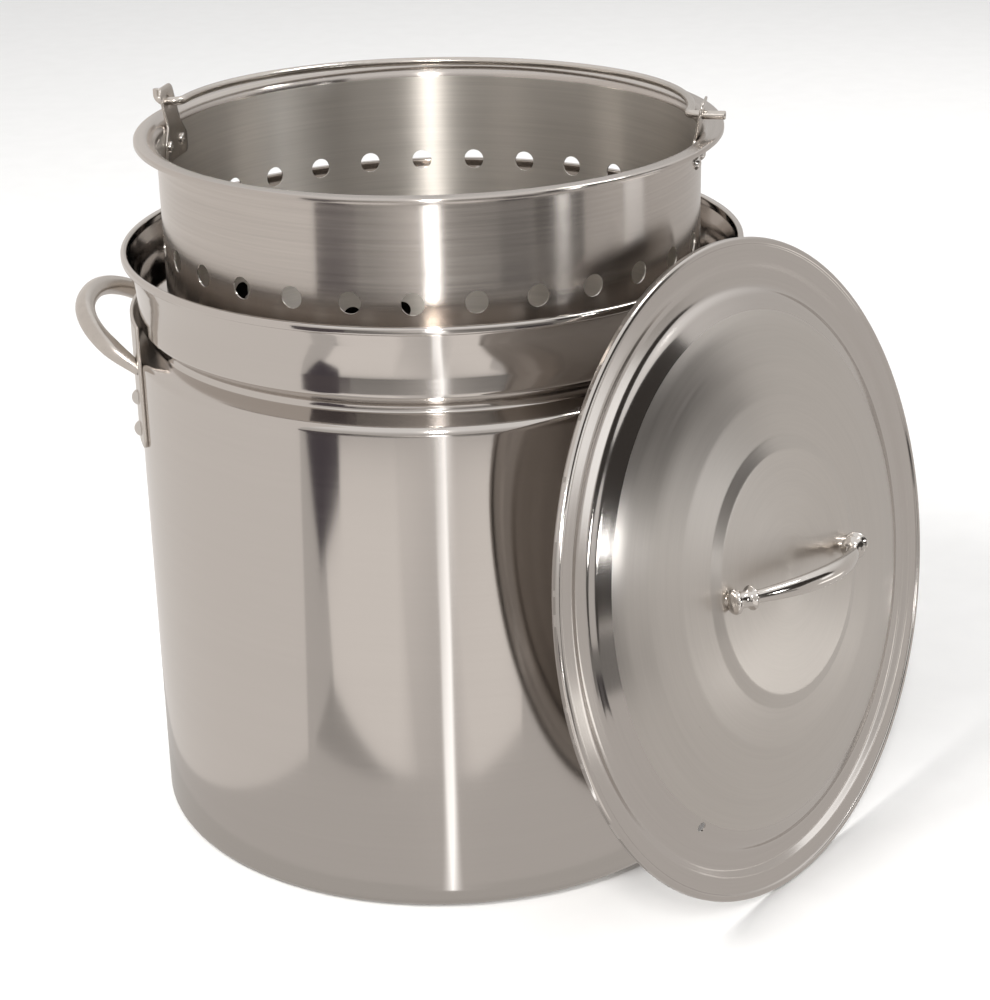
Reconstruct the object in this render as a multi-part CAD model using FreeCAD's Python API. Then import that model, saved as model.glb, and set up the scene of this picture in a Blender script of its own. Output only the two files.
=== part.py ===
import FreeCAD, Part
import math
import os

# Turkey fryer kit: a tall stock pot with two riveted loop handles, a perforated basket with a
# wire bail, and a domed lid with a cast bow handle.  Millimetres, +Z up.  The pot stands on z = 0
# with its axis on the origin.  The basket is raised out of the pot and the lid leans on the rim.
# A bearing is an angle about Z measured from -Y towards +X.

os.makedirs("parts", exist_ok=True)

# ---------------------------------------------------------------- pot body
POT_SHEET = 1.0                # wall and floor thickness
POT_RADIUS = 178.0             # outside radius of the lower wall
POT_HEIGHT = 352.8             # floor to the top of the rim
POT_BASE_FILLET = 6.0          # mid-sheet radius of the base corner
UPPER_WALL_RADIUS = 175.1      # outside radius above the steam ridge
RIDGE_RADIUS = 166.7           # outside radius at the bottom of the ridge groove
RIDGE_LOW_Z = 293.6            # the lower wall starts to turn in
RIDGE_FLOOR_LOW_Z = 300.4      # groove floor, lower end
RIDGE_FLOOR_HIGH_Z = 304.6     # groove floor, upper end
RIDGE_HIGH_Z = 311.6           # the groove meets the upper wall
FLARE_START_Z = 331.5          # the wall starts to open towards the rim
FLARE_END_Z = 347.6            # the flare meets the rolled rim
FLARE_END_RADIUS = 179.6       # mid-sheet radius there
RIM_RADIUS = 182.7             # outside radius of the rolled rim
RIM_ROLL_DROP = 3.7            # how far the rolled edge turns down
RIM_ROLL_RETURN = 1.3          # how far it then turns back in
RIDGE_FILLETS = (5.0, 3.2, 2.4, 3.0)    # mid-sheet radii of the groove's four bends, going up
FLARE_FILLET = 14.0
FLARE_END_FILLET = 2.4
RIM_FILLET = 1.2
RIM_ROLL_FILLET = 1.0

# ---------------------------------------------------------------- pot handles
LEFT_HANDLE_BEARING = -94.4
RIGHT_HANDLE_BEARING = LEFT_HANDLE_BEARING + 180.0
LOOP_HALF_WIDTH = 57.3         # along the wall, loop end to the middle of the handle
LOOP_REACH = 207.8             # centre line, furthest from the pot axis
LOOP_END_Z = 287.9             # height where the rod meets the plate
LOOP_TILT = 35.0               # degrees the loop rises outwards
LOOP_POWER = 0.88              # squareness of the bow, 1 is an ellipse
LOOP_ROD = 11.6                # rod diameter
LOOP_END_ROD = 8.4             # diameter where the rod is drawn down to the plate
LOOP_DRAW_LENGTH = 20.0        # distance out from the plate over which the rod is drawn down
LOOP_SECTIONS = 28             # circles that the rod is lofted through, less one
PLATE_SHEET = 2.0
PLATE_HALF_ANGLE = 21.6        # degrees each side of the handle bearing
PLATE_TAB_ANGLE = 5.2          # degrees of wall covered by one hanging tab
PLATE_TOP_Z = 316.0
PLATE_STRAP_LOW_Z = 291.0
PLATE_TAB_LOW_Z = 240.5
TAB_CORNER = 6.0
POT_RIVET_SHANK = 5.0
POT_RIVET_HEAD = 9.6
POT_RIVET_DOME = 3.4
POT_RIVET_TAIL = 8.0
POT_RIVET_TAIL_RISE = 1.5
POT_RIVET_HEIGHTS = (268.5, 249.0)
RIVET_TAIL_GAP = 0.06          # keeps the flat tails off the hollow of the curved wall
POT_DRILL = (6.0, 20.0)        # rivet drills start this far outside the plate and run this long
DOME_STEPS = 10                # points along a rivet's domed head, less one

# ---------------------------------------------------------------- basket
BASKET_SHEET = 0.8
BASKET_RADIUS = 157.4          # outside radius of the wall
BASKET_TOP_Z = 418.3
BASKET_DEPTH = 282.0
BASKET_BASE_FILLET = 8.0
BASKET_LIP_RADIUS = 170.3      # outside radius of the flange
BASKET_LIP_FILLET = 7.0
BASKET_HEM_DROP = 2.4
BASKET_HEM_FILLET = 0.9
HOLE_DIAMETER = 12.5
HOLES_PER_ROW = 29
HOLE_ROWS = 7
HOLE_ROW_PITCH = 34.0
FIRST_ROW_BELOW_TOP = 56.3
FIRST_HOLE_BEARING = -4.24
FLOOR_HOLE_RINGS = ((0.0, 1), (34.0, 6), (68.0, 12), (102.0, 18), (134.0, 24))
WALL_PUNCH = 6.0               # a punch reaches this far each side of the wall
FLOOR_PUNCH = 3.0              # and this far each side of the floor

# ---------------------------------------------------------------- ears and bail
BAIL_AXIS_BEARING = 76.6       # right ear; the left ear is opposite
EAR_SHEET = 1.5
EAR_BASE_WIDTH = 37.0
EAR_TAB_WIDTH = 22.0
EAR_LOW_Z = 392.5
EAR_SHOULDER_Z = 411.0         # middle of the step from the foot to the tab
EAR_SHOULDER = (6.0, 3.0)      # the step starts this far below it and ends this far above
EAR_LEAN_Z = 412.5             # the sheet starts to lean outwards
EAR_TOP_Z = 436.0
EAR_LEAN = 10.5                # degrees
EAR_LEAN_FILLET = 10.0
EAR_CORNER = 4.0
EAR_RIVET_Z = 402.0
EAR_RIVET_SPACING = 22.0
EAR_RIVET_SHANK = 4.0
EAR_RIVET_HEAD = 8.2
EAR_RIVET_DOME = 2.8
EAR_RIVET_TAIL = 7.0
EAR_RIVET_TAIL_RISE = 1.2
EAR_RIVET_BORE = 2.8           # hollow in the rolled tail
BAIL_PIVOT_Z = 427.0
BAIL_WIRE = 5.0
BAIL_HOLE = 5.7
BAIL_INSIDE_RADIUS = 150.5     # wire centre beside the ear, inside the basket
BAIL_REACH = 160.0             # wire centre at the middle of the bail
BAIL_BEND = 6.0
BAIL_REST_GAP = 0.2            # wire above the flange
BAIL_RIGHT_TIP = 172.0         # how far the straight end sticks out from the pot axis
BAIL_LEFT_TURN = 164.6         # where the left end turns up
BAIL_LEFT_TURN_BEND = 4.0
BAIL_LEFT_HOOK = 7.2
BAIL_STEPS = 40                # points along the bow, less one

# ---------------------------------------------------------------- lid
LID_SHEET = 0.8
LID_RADIUS = 188.3
LID_BEAD = 4.2                 # diameter of the rolled edge
LID_CENTRE = (177.9, -126.6, 184.93)
LID_BEARING = 50.92            # direction the top of the lid faces
LID_LEAN = 11.14               # degrees the face looks up
PANEL_RADIUS = 69.5            # flat centre panel
PANEL_RISE = 22.1              # panel height above the edge plane, mid-sheet
PANEL_FILLET = 5.0
PANEL_STEP = (7.5, 2.4)        # the panel's border steps out and down by this much
PANEL_STEP_FILLET = 7.0
DOME_BENDS = (                 # (radius, mid-sheet height, fillet) down the dome
    (100.0, 17.0, 45.0),       # a soft crease
    (122.0, 12.9, 120.0),
    (141.0, 7.9, 60.0),
)
BRIM_BENDS = (                 # the channel at the foot of the dome and the step on the brim
    (156.8, 1.9, 4.0),
    (160.5, -0.9, 2.6),
    (164.6, 0.4, 1.6),
    (167.4, -1.3, 2.6),
    (171.0, -1.3, 1.6),
    (173.2, 0.2, 2.6),
)
BRIM_HEIGHT = 0.9              # mid-sheet, where the brim meets the rolled edge
VENT_DIAMETER = 6.0
VENT_RADIUS = 151.0
VENT_ANGLE = -129.7            # degrees in the plane of the lid, from its horizontal

# ---------------------------------------------------------------- lid handle
GRIP_ANGLE = -5.0              # degrees in the plane of the lid
GRIP_APEX = 26.0               # centre line above the panel
GRIP_THICK = 9.2
GRIP_WIDE = 11.5
GRIP_NECK = 6.6
GRIP_ARCH_POWER = 2.1          # 2 is a parabola, more is flatter on top
GRIP_SECTIONS = 16             # ovals that the grip is lofted through, less one
OVAL_POINTS = 12
KNUCKLE_OFFSET = 55.0
KNUCKLE_RISE = 9.0
KNUCKLE_DIAMETER = 14.0
KNUCKLE_LENGTH = 6.0
KNUCKLE_CUFF = 2.0             # how far the knuckle laps over the grip
KNUCKLE_RIM = 0.4              # half width of its blunt rim
CAST_STEP = 0.6                # small step where one turned form meets the next
STUB_DIAMETER = 9.0
FOOT_OFFSET = 66.0
FOOT_RISE = 4.6
FOOT_DIAMETER = 14.0
FOOT_LENGTH = 2.6
FOOT_CROWN = (1.2, 1.6, 2.0)   # edge chamfer along and across, and the crown's height
PAD_DIAMETER = 10.4            # boss under the foot, down to the panel
PAD_HEIGHT = 4.0
SCREW_OFFSET = 61.0
SCREW_SHANK = 4.0
SCREW_HEAD = 8.0
SCREW_HEAD_RISE = 2.2
SCREW_DEPTH = 4.0              # length inside the foot
SCREW_HEAD_EDGE = (0.3, 1.4)   # the head narrows by this much half way and at its top
WASHER_DIAMETER = 11.0
WASHER_THICK = 1.0

UP = FreeCAD.Vector(0, 0, 1)
ORIGIN = FreeCAD.Vector(0, 0, 0)


# ---------------------------------------------------------------- helpers
def radial(bearing):
    """Unit vector pointing away from the pot axis at a bearing in degrees."""
    angle = math.radians(bearing)
    return FreeCAD.Vector(math.sin(angle), -math.cos(angle), 0)


def tangent(bearing):
    """Unit vector along the wall, towards growing bearings."""
    angle = math.radians(bearing)
    return FreeCAD.Vector(math.cos(angle), math.sin(angle), 0)


def at(bearing, radius, z):
    """Point at a bearing, radius and height about the pot axis."""
    return radial(bearing) * radius + UP * z


def unit(a, b):
    """Unit step from a to b in the profile plane."""
    length = math.hypot(b[0] - a[0], b[1] - a[1])
    return ((b[0] - a[0]) / length, (b[1] - a[1]) / length)


def offset_path(points, distance):
    """Shift an open (radius, height, fillet) path to its left by a distance."""
    shifted = []
    last = len(points) - 1
    for index, point in enumerate(points):
        before = unit(points[max(index - 1, 0)], points[max(index, 1)])
        after = unit(points[min(index, last - 1)], points[min(index + 1, last)])
        normal = (-before[1] - after[1], before[0] + after[0])
        scale = distance / (1.0 + before[0] * after[0] + before[1] * after[1])
        turn = before[0] * after[1] - before[1] * after[0]
        fillet = point[2]
        if fillet > 0:
            fillet -= math.copysign(distance, turn)
        shifted.append((point[0] + normal[0] * scale, point[1] + normal[1] * scale, fillet))
    return shifted


def path_edges(points):
    """Lines and tangent arcs through an open (radius, height, fillet) path."""
    edges = []
    start = FreeCAD.Vector(points[0][0], 0, points[0][1])
    for index in range(1, len(points) - 1):
        before = unit(points[index - 1], points[index])
        after = unit(points[index], points[index + 1])
        corner = FreeCAD.Vector(points[index][0], 0, points[index][1])
        radius = points[index][2]
        half = 0.5 * math.acos(max(-1.0, min(1.0, before[0] * after[0] + before[1] * after[1])))
        if radius <= 0 or half < 1e-4:
            edges.append(Part.makeLine(start, corner))
            start = corner
            continue
        step = radius * math.tan(half)
        enter = corner - FreeCAD.Vector(before[0], 0, before[1]) * step
        leave = corner + FreeCAD.Vector(after[0], 0, after[1]) * step
        inward = FreeCAD.Vector(after[0] - before[0], 0, after[1] - before[1])
        inward.normalize()
        middle = corner + inward * (radius / math.cos(half) - radius)
        if (enter - start).Length > 1e-6:
            edges.append(Part.makeLine(start, enter))
        edges.append(Part.Arc(enter, middle, leave).toShape())
        start = leave
    edges.append(Part.makeLine(start, FreeCAD.Vector(points[-1][0], 0, points[-1][1])))
    return edges


def sheet_profile(points, thickness):
    """Closed face of a bent sheet whose mid line is the path."""
    left = offset_path(points, thickness / 2)
    right = offset_path(points, -thickness / 2)
    edges = path_edges(left) + path_edges(right)
    for end in (0, -1):
        a = FreeCAD.Vector(left[end][0], 0, left[end][1])
        b = FreeCAD.Vector(right[end][0], 0, right[end][1])
        edges.append(Part.makeLine(a, b))
    return Part.Face(Part.Wire(Part.__sortEdges__(edges)))


def spun_sheet(points, thickness):
    """Sheet spun about Z from a mid-line path."""
    return sheet_profile(points, thickness).revolve(ORIGIN, UP, 360)


def polygon(points):
    """Closed planar face through points."""
    return Part.Face(Part.makePolygon(list(points) + [points[0]]))


def turned(outline, base, axis):
    """Solid of revolution of an (along, radius) outline placed along an axis from base."""
    points = [FreeCAD.Vector(radius, 0, along) for along, radius in outline]
    solid = polygon(points).revolve(ORIGIN, UP, 360)
    solid.Placement = FreeCAD.Placement(base, FreeCAD.Rotation(UP, axis))
    return solid


def dome_outline(radius, rise, start):
    """Outline points of a spherical cap whose flat side is at start, from edge to crown."""
    sphere = (radius * radius + rise * rise) / (2 * rise)
    points = []
    for index in range(DOME_STEPS + 1):
        across = radius * (1 - index / DOME_STEPS)
        points.append((start + math.sqrt(sphere * sphere - across * across) - (sphere - rise), across))
    return points


def circle_wire(centre, axis, radius):
    """Circular section wire."""
    return Part.Wire(Part.makeCircle(radius, centre, axis))


def swept_rod(centres, radii):
    """Round rod lofted through circles at right angles to the centre line."""
    wires = []
    last = len(centres) - 1
    for index, centre in enumerate(centres):
        axis = centres[min(index + 1, last)] - centres[max(index - 1, 0)]
        wires.append(circle_wire(centre, axis, radii[index]))
    return Part.makeLoft(wires, True, False)


def save(name, shape):
    """Write one node as STEP after a soundness check."""
    if not shape.isValid():
        raise ValueError(name + " is not a valid shape")
    if not shape.Solids:
        raise ValueError(name + " has no solid")
    if len(shape.Solids) == 1:
        shape = shape.Solids[0]
    shape.exportStep("parts/" + name + ".step")
    if os.path.getsize("parts/" + name + ".step") < 4000:
        raise ValueError(name + " was written empty")
    print(name, len(shape.Solids), "solid(s)", round(shape.Volume, 1), "mm3")


# ---------------------------------------------------------------- pot body
def pot_wall_path():
    """Mid-sheet path of the pot from the floor centre to the rolled rim."""
    half = POT_SHEET / 2
    lower = POT_RADIUS - half
    upper = UPPER_WALL_RADIUS - half
    groove = RIDGE_RADIUS - half
    rim = RIM_RADIUS - half
    top = POT_HEIGHT - half
    return [
        (0, half, 0),
        (lower, half, POT_BASE_FILLET),
        (lower, RIDGE_LOW_Z, RIDGE_FILLETS[0]),
        (groove, RIDGE_FLOOR_LOW_Z, RIDGE_FILLETS[1]),
        (groove, RIDGE_FLOOR_HIGH_Z, RIDGE_FILLETS[2]),
        (upper, RIDGE_HIGH_Z, RIDGE_FILLETS[3]),
        (upper, FLARE_START_Z, FLARE_FILLET),
        (FLARE_END_RADIUS, FLARE_END_Z, FLARE_END_FILLET),
        (FLARE_END_RADIUS, top, RIM_FILLET),
        (rim, top, RIM_FILLET),
        (rim, top - RIM_ROLL_DROP, RIM_ROLL_FILLET),
        (rim - RIM_ROLL_RETURN, top - RIM_ROLL_DROP, 0),
    ]


def rivet(centre, axis, grip, shank, head, dome, tail, tail_rise, bore=0.0):
    """Rivet through a stack: the stack starts at centre and reaches grip along -axis."""
    outline = [(dome, 0)]
    outline += list(reversed(dome_outline(head / 2, dome, 0)))[1:]
    outline += [(0, shank / 2), (-grip, shank / 2), (-grip, tail / 2)]
    outline += [(-grip - tail_rise * 0.6, tail / 2), (-grip - tail_rise, tail / 2 - tail_rise * 0.4)]
    if bore > 0:
        outline += [(-grip - tail_rise, bore / 2), (-grip - tail_rise * 0.2, bore / 2)]
        outline += [(-grip - tail_rise * 0.2, 0)]
    else:
        outline += [(-grip - tail_rise, 0)]
    return turned(outline, centre, axis)


def wall_slab(bearing, half_angle, inner, outer, low, high):
    """Curved slab that follows the wall between two heights."""
    ring = Part.makeCylinder(outer, high - low, UP * low)
    ring = ring.cut(Part.makeCylinder(inner, high - low, UP * low))
    reach = outer * 2
    corners = [ORIGIN + UP * low]
    for side in (-1, 0, 1):
        corners.append(radial(bearing + side * half_angle) * reach + UP * low)
    wedge = polygon(corners).extrude(UP * (high - low))
    return ring.common(wedge)


def tab_window(bearing):
    """Block through the wall with rounded lower corners, the outline of one hanging tab."""
    half_width = POT_RADIUS * math.radians(PLATE_TAB_ANGLE)
    low = PLATE_TAB_LOW_Z
    high = PLATE_TOP_Z
    corner = TAB_CORNER
    across = tangent(bearing)
    out = radial(bearing)
    start = out * (POT_RADIUS - half_width)
    arc = corner * (1 - math.sqrt(0.5))
    p = [
        start + across * -half_width + UP * high,
        start + across * -half_width + UP * (low + corner),
        start + across * -(half_width - arc) + UP * (low + arc),
        start + across * -(half_width - corner) + UP * low,
        start + across * (half_width - corner) + UP * low,
        start + across * (half_width - arc) + UP * (low + arc),
        start + across * half_width + UP * (low + corner),
        start + across * half_width + UP * high,
    ]
    edges = [
        Part.makeLine(p[0], p[1]),
        Part.Arc(p[1], p[2], p[3]).toShape(),
        Part.makeLine(p[3], p[4]),
        Part.Arc(p[4], p[5], p[6]).toShape(),
        Part.makeLine(p[6], p[7]),
        Part.makeLine(p[7], p[0]),
    ]
    return Part.Face(Part.Wire(edges)).extrude(out * (2 * half_width))


def tab_bearings(bearing):
    """Bearings of the two hanging tabs of a handle plate."""
    reach = PLATE_HALF_ANGLE - PLATE_TAB_ANGLE
    return (bearing - reach, bearing + reach)


def tab_rivet_places(tab_bearing):
    """Points on the outside of the plate where one tab is riveted."""
    radius = POT_RADIUS + PLATE_SHEET
    return [at(tab_bearing, radius, height) for height in POT_RIVET_HEIGHTS]


def rivet_holes(bearing):
    """Cutters for the rivets of one pot handle."""
    cutters = []
    for tab in tab_bearings(bearing):
        for place in tab_rivet_places(tab):
            base = place + radial(tab) * POT_DRILL[0]
            cutters.append(Part.makeCylinder(POT_RIVET_SHANK / 2, POT_DRILL[1], base, radial(tab) * -1))
    return cutters


def handle_plate(bearing):
    """Strap that bridges the ridge groove, with a riveted tab hanging at each end."""
    outer = POT_RADIUS + PLATE_SHEET
    strap = wall_slab(bearing, PLATE_HALF_ANGLE, POT_RADIUS, outer, PLATE_STRAP_LOW_Z, PLATE_TOP_Z)
    plate = strap
    for tab in tab_bearings(bearing):
        hanging = wall_slab(tab, PLATE_TAB_ANGLE * 2, POT_RADIUS, outer, PLATE_TAB_LOW_Z, PLATE_TOP_Z)
        plate = plate.fuse(hanging.common(tab_window(tab)))
    plate = plate.removeSplitter()
    return plate.cut(rivet_holes(bearing))


def handle_loop():
    """Rod bow at bearing 0 that rises outwards from the two ends of the plate."""
    start_radius = math.sqrt(POT_RADIUS ** 2 - LOOP_HALF_WIDTH ** 2)
    rise = math.tan(math.radians(LOOP_TILT))
    centres = []
    radii = []
    for index in range(LOOP_SECTIONS + 1):
        angle = math.radians(-90 + 180 * index / LOOP_SECTIONS)
        side = LOOP_HALF_WIDTH * math.copysign(abs(math.sin(angle)) ** LOOP_POWER, angle)
        out = (LOOP_REACH - start_radius) * max(math.cos(angle), 0) ** LOOP_POWER
        centre = radial(0) * (start_radius + out) + tangent(0) * side
        centres.append(centre + UP * (LOOP_END_Z + out * rise))
        ease = min(1.0, out / LOOP_DRAW_LENGTH)
        ease = ease * ease * (3 - 2 * ease)
        radii.append((LOOP_END_ROD + (LOOP_ROD - LOOP_END_ROD) * ease) / 2)
    rod = swept_rod(centres, radii)
    wall = Part.makeCylinder(POT_RADIUS + PLATE_SHEET, POT_HEIGHT)
    return rod.cut(wall)


def make_pot():
    """Pot body with the rivet holes of both handles."""
    body = spun_sheet(pot_wall_path(), POT_SHEET)
    cutters = rivet_holes(LEFT_HANDLE_BEARING) + rivet_holes(RIGHT_HANDLE_BEARING)
    save("pot_shell", body.cut(cutters))
    loop = handle_loop()
    for side, bearing in (("left", LEFT_HANDLE_BEARING), ("right", RIGHT_HANDLE_BEARING)):
        save("pot_handle_" + side + "_loop", loop.rotated(ORIGIN, UP, bearing))
        save("pot_handle_" + side + "_plate", handle_plate(bearing))
        for place, tab in zip(("a", "b"), tab_bearings(bearing)):
            rivets = []
            for centre in tab_rivet_places(tab):
                grip = PLATE_SHEET + POT_SHEET + RIVET_TAIL_GAP
                rivets.append(rivet(centre, radial(tab), grip, POT_RIVET_SHANK, POT_RIVET_HEAD,
                                    POT_RIVET_DOME, POT_RIVET_TAIL, POT_RIVET_TAIL_RISE))
            save("pot_handle_" + side + "_rivets_" + place, Part.makeCompound(rivets))


# ---------------------------------------------------------------- basket
def basket_path():
    """Mid-sheet path of the basket from the floor centre to the hemmed flange."""
    half = BASKET_SHEET / 2
    floor = BASKET_TOP_Z - BASKET_DEPTH + half
    wall = BASKET_RADIUS - half
    top = BASKET_TOP_Z - half
    lip = BASKET_LIP_RADIUS - half
    return [
        (0, floor, 0),
        (wall, floor, BASKET_BASE_FILLET),
        (wall, top, BASKET_LIP_FILLET),
        (lip, top, BASKET_HEM_FILLET),
        (lip, top - BASKET_HEM_DROP, 0),
    ]


def basket_holes():
    """Cutters for the staggered wall rows and the floor rings."""
    cutters = []
    radius = HOLE_DIAMETER / 2
    for row in range(HOLE_ROWS):
        height = BASKET_TOP_Z - FIRST_ROW_BELOW_TOP - row * HOLE_ROW_PITCH
        for index in range(HOLES_PER_ROW):
            bearing = FIRST_HOLE_BEARING + (index + 0.5 * (row % 2)) * 360.0 / HOLES_PER_ROW
            base = at(bearing, BASKET_RADIUS - WALL_PUNCH, height)
            cutters.append(Part.makeCylinder(radius, 2 * WALL_PUNCH, base, radial(bearing)))
    floor = BASKET_TOP_Z - BASKET_DEPTH
    for ring, count in FLOOR_HOLE_RINGS:
        for index in range(count):
            base = at(index * 360.0 / count, ring, floor - FLOOR_PUNCH)
            cutters.append(Part.makeCylinder(radius, 2 * FLOOR_PUNCH, base, UP))
    return cutters


def ear_bearings():
    """Left and right ear bearings by name."""
    return (("left", BAIL_AXIS_BEARING - 180.0), ("right", BAIL_AXIS_BEARING))


def ear_rivet_bearings(bearing):
    """Bearings of the two rivets of one ear."""
    step = math.degrees(EAR_RIVET_SPACING / 2 / (BASKET_RADIUS - BASKET_SHEET))
    return (bearing - step, bearing + step)


def ear_rivet_holes(bearing):
    """Cutters for the two rivets of one ear."""
    cutters = []
    for place in ear_rivet_bearings(bearing):
        base = at(place, BASKET_RADIUS + WALL_PUNCH, EAR_RIVET_Z)
        cutters.append(Part.makeCylinder(EAR_RIVET_SHANK / 2, 2 * WALL_PUNCH, base, radial(place) * -1))
    return cutters


def ear(bearing):
    """Sheet ear inside the wall, with a wide riveted foot and a leaning pierced tab."""
    mid = BASKET_RADIUS - BASKET_SHEET - EAR_SHEET / 2
    sleeve_top = EAR_TOP_Z + EAR_SHEET
    lean = math.tan(math.radians(EAR_LEAN)) * (sleeve_top - EAR_LEAN_Z)
    path = [(mid, EAR_LOW_Z, 0), (mid, EAR_LEAN_Z, EAR_LEAN_FILLET), (mid + lean, sleeve_top, 0)]
    sleeve = spun_sheet(path, EAR_SHEET)
    out = radial(bearing)
    across = tangent(bearing)
    start = out * (mid - EAR_TAB_WIDTH / 2)
    foot = EAR_BASE_WIDTH / 2
    tab = EAR_TAB_WIDTH / 2
    foot_top = EAR_SHOULDER_Z - EAR_SHOULDER[0]
    tab_low = EAR_SHOULDER_Z + EAR_SHOULDER[1]
    outline = [(-foot, EAR_LOW_Z), (foot, EAR_LOW_Z), (foot, foot_top), (tab, tab_low),
               (tab, EAR_TOP_Z), (-tab, EAR_TOP_Z), (-tab, tab_low), (-foot, foot_top)]
    flat = polygon([start + across * x + UP * z for x, z in outline])
    block = flat.extrude(out * EAR_BASE_WIDTH)
    upright = [edge for edge in block.Edges
               if abs(edge.tangentAt(edge.FirstParameter).dot(out)) > 0.99]
    block = block.makeFillet(EAR_CORNER, upright)
    pierced = sleeve.common(block)
    pin_start = at(bearing, mid - EAR_TAB_WIDTH / 2, BAIL_PIVOT_Z)
    pin = Part.makeCylinder(BAIL_HOLE / 2, EAR_BASE_WIDTH, pin_start, out)
    return pierced.cut([pin] + ear_rivet_holes(bearing))


def make_basket():
    """Basket shell, ears and ear rivets."""
    shell = spun_sheet(basket_path(), BASKET_SHEET)
    cutters = basket_holes()
    for name, bearing in ear_bearings():
        cutters += ear_rivet_holes(bearing)
        save("basket_ear_" + name, ear(bearing))
        rivets = []
        for place in ear_rivet_bearings(bearing):
            centre = at(place, BASKET_RADIUS, EAR_RIVET_Z)
            grip = BASKET_SHEET + EAR_SHEET + RIVET_TAIL_GAP
            rivets.append(rivet(centre, radial(place), grip, EAR_RIVET_SHANK, EAR_RIVET_HEAD,
                                EAR_RIVET_DOME, EAR_RIVET_TAIL, EAR_RIVET_TAIL_RISE, EAR_RIVET_BORE))
        save("basket_ear_rivets_" + name, Part.makeCompound(rivets))
    save("basket_shell", shell.cut(cutters))


def make_bail():
    """Wire bail lying back on the flange, its ends passed outwards through the ears."""
    axis = radial(BAIL_AXIS_BEARING)
    back = tangent(BAIL_AXIS_BEARING)
    pivot = UP * BAIL_PIVOT_Z
    rest_z = BASKET_TOP_Z + BAIL_WIRE / 2 + BAIL_REST_GAP
    drop = math.asin((BAIL_PIVOT_Z - rest_z) / BAIL_REACH)
    lie = back * math.cos(drop) - UP * math.sin(drop)
    lift = back * math.sin(drop) + UP * math.cos(drop)
    arc_points = []
    for index in range(BAIL_STEPS + 1):
        angle = math.pi * index / BAIL_STEPS
        arc_points.append(pivot + axis * (BAIL_INSIDE_RADIUS * math.cos(angle))
                          + lie * (BAIL_BEND + (BAIL_REACH - BAIL_BEND) * math.sin(angle)))
    curve = Part.BSplineCurve()
    curve.interpolate(Points=arc_points, InitialTangent=lie, FinalTangent=lie * -1)
    bend_mid = math.sqrt(0.5) * BAIL_BEND

    def corner(side):
        """Bend between the wire inside the ear and the bow."""
        inner = pivot + axis * (side * (BAIL_INSIDE_RADIUS + BAIL_BEND))
        middle = inner - axis * (side * bend_mid) + lie * (BAIL_BEND - bend_mid)
        outer = pivot + axis * (side * BAIL_INSIDE_RADIUS) + lie * BAIL_BEND
        return inner, middle, outer

    right_in, right_mid, right_out = corner(1)
    left_in, left_mid, left_out = corner(-1)
    turn = BAIL_LEFT_TURN_BEND
    turn_mid = math.sqrt(0.5) * turn
    hook_start = pivot - axis * (BAIL_LEFT_TURN - turn)
    hook_mid = pivot - axis * (BAIL_LEFT_TURN - turn + turn_mid) + lift * (turn - turn_mid)
    hook_end = pivot - axis * BAIL_LEFT_TURN + lift * turn
    tip = pivot + axis * BAIL_RIGHT_TIP
    edges = [
        Part.makeLine(tip, right_in),
        Part.Arc(right_in, right_mid, right_out).toShape(),
        curve.toShape(),
        Part.Arc(left_out, left_mid, left_in).toShape(),
        Part.makeLine(left_in, hook_start),
        Part.Arc(hook_start, hook_mid, hook_end).toShape(),
        Part.makeLine(hook_end, hook_end + lift * (BAIL_LEFT_HOOK - turn)),
    ]
    spine = Part.Wire(edges)
    section = circle_wire(tip, axis, BAIL_WIRE / 2)
    save("basket_bail", spine.makePipeShell([section], True, True))


# ---------------------------------------------------------------- lid
def lid_placement():
    """Placement of the lid: local Z is the way its top faces, local X is level."""
    bearing = math.radians(LID_BEARING)
    lean = math.radians(LID_LEAN)
    facing = FreeCAD.Vector(math.sin(bearing) * math.cos(lean), -math.cos(bearing) * math.cos(lean),
                            math.sin(lean))
    level = tangent(LID_BEARING)
    rise = facing.cross(level)
    matrix = FreeCAD.Matrix(level.x, rise.x, facing.x, LID_CENTRE[0],
                            level.y, rise.y, facing.y, LID_CENTRE[1],
                            level.z, rise.z, facing.z, LID_CENTRE[2],
                            0, 0, 0, 1)
    return FreeCAD.Placement(matrix)


def lid_path():
    """Mid-sheet path of the lid from its centre to the rolled edge."""
    half = LID_SHEET / 2
    edge = LID_RADIUS - half
    bead = LID_BEAD / 2 - half
    brim_end = LID_RADIUS - LID_BEAD
    centre = [(0, PANEL_RISE, 0), (PANEL_RADIUS, PANEL_RISE, PANEL_FILLET),
              (PANEL_RADIUS + PANEL_STEP[0], PANEL_RISE - PANEL_STEP[1], PANEL_STEP_FILLET)]
    rolled_edge = [
        (brim_end, BRIM_HEIGHT, 1.2),
        (brim_end + 1.0, bead + 0.4, 1.0),
        (edge, bead + 0.2, 1.5),
        (edge, -bead - 0.6, 1.3),
        (edge - 2.9, -bead - 0.6, 0),
    ]
    return centre + list(DOME_BENDS) + list(BRIM_BENDS) + rolled_edge


def screw_places():
    """Places of the two handle screws in lid coordinates, on the panel mid-sheet."""
    angle = math.radians(GRIP_ANGLE)
    direction = FreeCAD.Vector(math.cos(angle), math.sin(angle), 0)
    return [direction * (side * SCREW_OFFSET) + UP * PANEL_RISE for side in (-1, 1)]


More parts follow.
